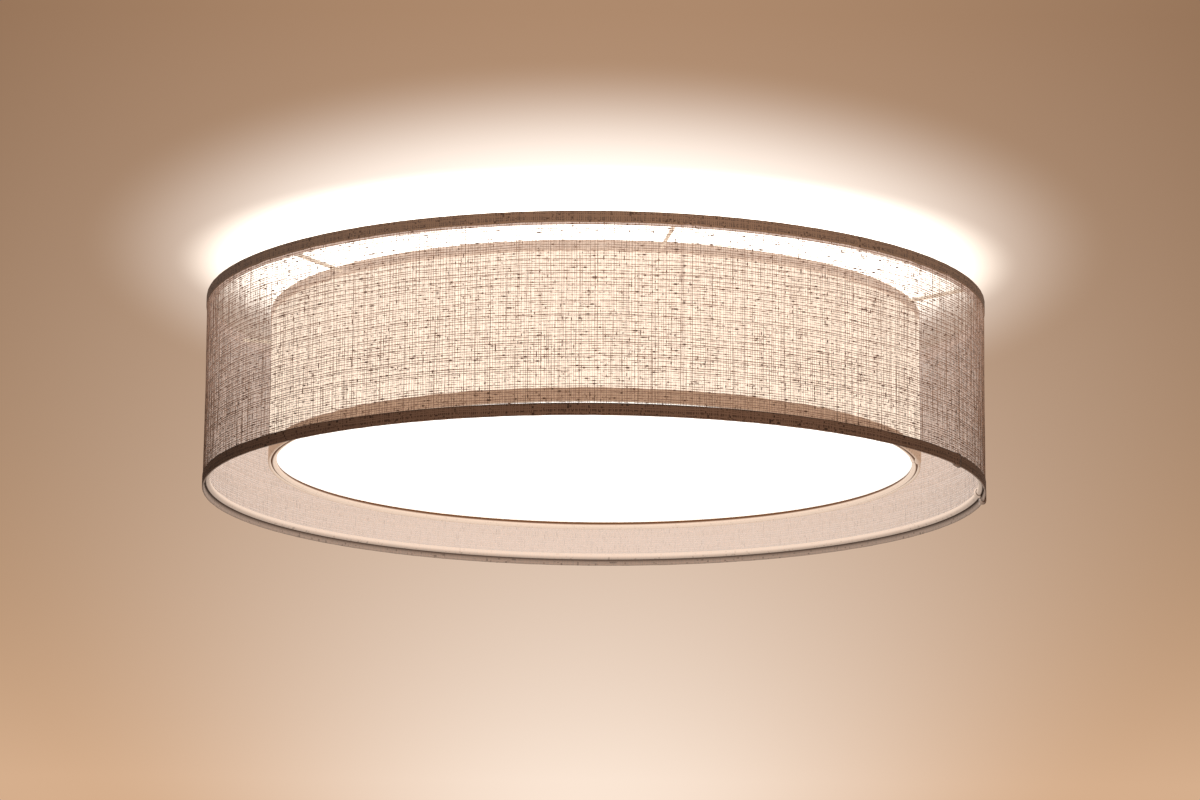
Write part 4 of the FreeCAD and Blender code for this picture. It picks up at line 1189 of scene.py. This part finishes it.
@dataclass
class Stage:
    """A pale ceiling over the light and a pale floor far below, each to be seen from one side only."""

    ceiling_near: str = "#84644A"
    ceiling_near_middle: str = "#AE8A6D"
    ceiling_far: str = "#D6AF8D"
    ceiling_far_middle: str = "#FBE6D4"
    floor_colour: str = "#E6E0D8"
    reach: float = 7000.0
    ceiling_gap: float = 0.4
    floor_drop: float = 2400.0
    near_end: float = -700.0
    far_end: float = 2900.0
    side_end: float = 700.0
    glow_full: float = 220.0
    glow_end: float = 600.0
    glow: float = 1.35
    core_full: float = 210.0
    core_end: float = 330.0
    core: float = 2.6

    def sheet(self, name: str, height: float, material: Material) -> None:
        """Makes a flat round sheet of rings and spokes, whose shown side looks towards the origin.

        Args:
            name: the sheet's name.
            height: millimetres above the ceiling's plane.
            material: its paint.
        """
        rings = np.array([0.5, 300, 700, 1500, 3000, self.reach])
        turn = np.linspace(0, 2 * np.pi, 96, endpoint=False)
        x, y = rings[None] * np.cos(turn)[:, None], rings[None] * np.sin(turn)[:, None]
        sheet = make_piece(name, np.stack([x, y, np.full_like(x, height)], axis=-1), (True, False), material)
        sheet.data.flip_normals()

    def ceiling_paint(self) -> Material:
        """Builds the ceiling's paint, which shows only to the eye, from below, with the light's glow on it.

        The paint is painted light and shade: it goes from dark to light along the room, and from its sides
        to its middle. The glow is a painted pool of lamplight: an oval that is widest towards the viewer
        and fades out smoothly, with a brighter core over the light itself.

        Returns:
            The material.
        """
        recipe = Recipe("ceiling_paint")
        place = recipe.millimetres()
        oval = recipe.add("VectorMath:MULTIPLY", place, (1.5, 1.0, 0.0))
        away = recipe.add("VectorMath:LENGTH", oval, out="Value")
        radius = recipe.add("VectorMath:LENGTH", recipe.add("VectorMath:MULTIPLY", place, LEVEL), out="Value")
        aside = recipe.add("Math:ABSOLUTE", recipe.add("SeparateXYZ", place, out=0))
        fall = recipe.add("MapRange", away, self.glow_full, self.glow_end, 1.0, 0.0, **SOFT)
        near = recipe.add("MapRange", radius, self.core_full, self.core_end, self.core, 0.0, **SOFT)
        middle = recipe.add("MapRange", aside, 0.0, self.side_end, 1.0, 0.0, **SOFT)
        ahead = recipe.add("SeparateXYZ", place, out=1)
        depth = recipe.add("MapRange", ahead, self.near_end, self.far_end, 0.0, 1.0)
        # painted light and shade: darker near the viewer and at the sides, lighter far off and in the middle
        sides = {0: depth, 6: self.ceiling_near, 7: self.ceiling_far}
        centre = {0: depth, 6: self.ceiling_near_middle, 7: self.ceiling_far_middle}
        sides, centre = (recipe.add("Mix", both, **BLEND) for both in (sides, centre))
        paint = recipe.add("Mix", {0: middle, 6: sides, 7: centre}, **BLEND)
        white = tuple(channel * self.glow for channel in linear("#FFF2E7")[:3]) + (1.0,)
        # painted pool of lamplight over the light, with a brighter core
        tone = recipe.add("Mix", {0: fall, 6: paint, 7: white}, **BLEND)
        core = recipe.add("VectorMath:SCALE", {0: "#FFF6E8", "Scale": near})
        plain = recipe.add("VectorMath:ADD", tone, core)
        light = recipe.add("Emission", {"Color": plain, "Strength": 1.0})
        behind = recipe.add("NewGeometry", out="Backfacing")
        shown = recipe.add("Math:SUBTRACT", recipe.seen(), behind, use_clamp=True)
        shader = recipe.add("MixShader", shown, recipe.add("BsdfTransparent"), light)
        recipe.tree.links.new(shader, recipe.tree.nodes["Material Output"].inputs["Surface"])
        return recipe.material

    def floor_paint(self) -> Material:
        """Builds the floor's pale matt paint, which shows only from above.

        Returns:
            The material.
        """
        recipe = Recipe("floor_paint")
        recipe.surface(Base_Color=self.floor_colour, Roughness=0.9, Specular_IOR_Level=0.1)
        recipe.surface(Emission_Color=self.floor_colour)
        recipe.surface(Emission_Strength=recipe.add("Math:MULTIPLY", recipe.seen(), 0.7))
        behind = recipe.add("NewGeometry", out="Backfacing")
        clear = recipe.add("BsdfTransparent")
        shader = recipe.add("MixShader", behind, recipe.shader.outputs[0], clear)
        recipe.tree.links.new(shader, recipe.tree.nodes["Material Output"].inputs["Surface"])
        return recipe.material

    def lamp(self, name: str, place: tuple[float, ...], size: float, power: float, colour: str) -> None:
        """Adds a soft square lamp that looks at the light.

        Args:
            name: the lamp's name.
            place: metres.
            size: its side, in metres.
            power: watts.
            colour: its colour.
        """
        data = bpy.data.lights.new(name, "AREA")
        data.size, data.energy, data.color = size, power, linear(colour)[:3]
        made = bpy.data.objects.new(name, data)
        made.location = place
        towards = Matrix.Translation((0.0, 0.0, -0.1)).translation - made.location
        made.rotation_euler = towards.to_track_quat("-Z", "Y").to_euler()
        bpy.context.scene.collection.objects.link(made)

    def build(self) -> None:
        """Makes the ceiling, the floor, the lamps and the world's light."""
        self.sheet("stage_ceiling", self.ceiling_gap, self.ceiling_paint())
        self.sheet("stage_floor", -self.floor_drop, self.floor_paint())
        self.lamp("key", (0.8, -2.8, -1.2), 1.4, 58.0, "#FFF3E4")
        self.lamp("fill", (-1.3, -2.2, -1.0), 1.4, 5.0, "#FFF3E6")
        self.lamp("back", (0.4, 2.6, -0.9), 1.8, 12.0, "#FFF3E6")
        self.lamp("top", (0.0, -0.4, 2.2), 2.0, 18.0, "#FFF8EE")
        world = bpy.data.worlds.new("studio")
        bpy.context.scene.world = world
        recipe = Recipe("studio", world)
        strength = recipe.add("Math:MULTIPLY_ADD", recipe.seen(), 0.7, 0.15)
        recipe.surface(Color="#F2EADF", Strength=strength)
        LOG.info("stage: ceiling, floor, four lamps and the world")


@dataclass
class Viewpoint:
    """The photograph's viewing angle: from below, far off, through a long lens."""

    distance: float = 3.793
    drop: float = 0.919
    focal_pixels: float = 5028.0
    width_pixels: float = 1200.0
    pitch: float = -12.15
    yaw: float = -0.06
    roll: float = 0.47

    def build(self) -> None:
        """Adds the camera. Its turns are those of a camera whose own axes point right, down and ahead."""
        turns = ((self.roll, "Z"), (self.pitch, "X"), (self.yaw, "Y"))
        roll, pitch, yaw = (Matrix.Rotation(np.radians(angle), 3, axis) for angle, axis in turns)
        right, down, ahead = roll @ pitch @ yaw @ Matrix(((1, 0, 0), (0, 0, -1), (0, 1, 0)))
        data = bpy.data.cameras.new("camera")
        data.sensor_width = 36.0
        data.lens = self.focal_pixels * data.sensor_width / self.width_pixels
        data.clip_end = 50.0
        camera = bpy.data.objects.new("camera", data)
        turned = Matrix((right, -down, -ahead)).transposed().to_4x4()
        camera.matrix_world = Matrix.Translation((0.0, -self.distance, -self.drop)) @ turned
        bpy.context.scene.collection.objects.link(camera)
        bpy.context.scene.camera = camera
        LOG.info("camera: lens %.1f mm, %.3f m away and %.3f m down", data.lens, self.distance, self.drop)


def main() -> None:
    logging.basicConfig(level=logging.INFO, format="%(name)s: %(message)s")
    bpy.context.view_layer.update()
    bpy.context.scene.view_settings.view_transform = "Standard"
    Viewpoint().build()
    Shade().build()
    LampCaps().build()
    CarriedParts().dress()
    Stage().build()


if __name__ == "__main__":
    main()
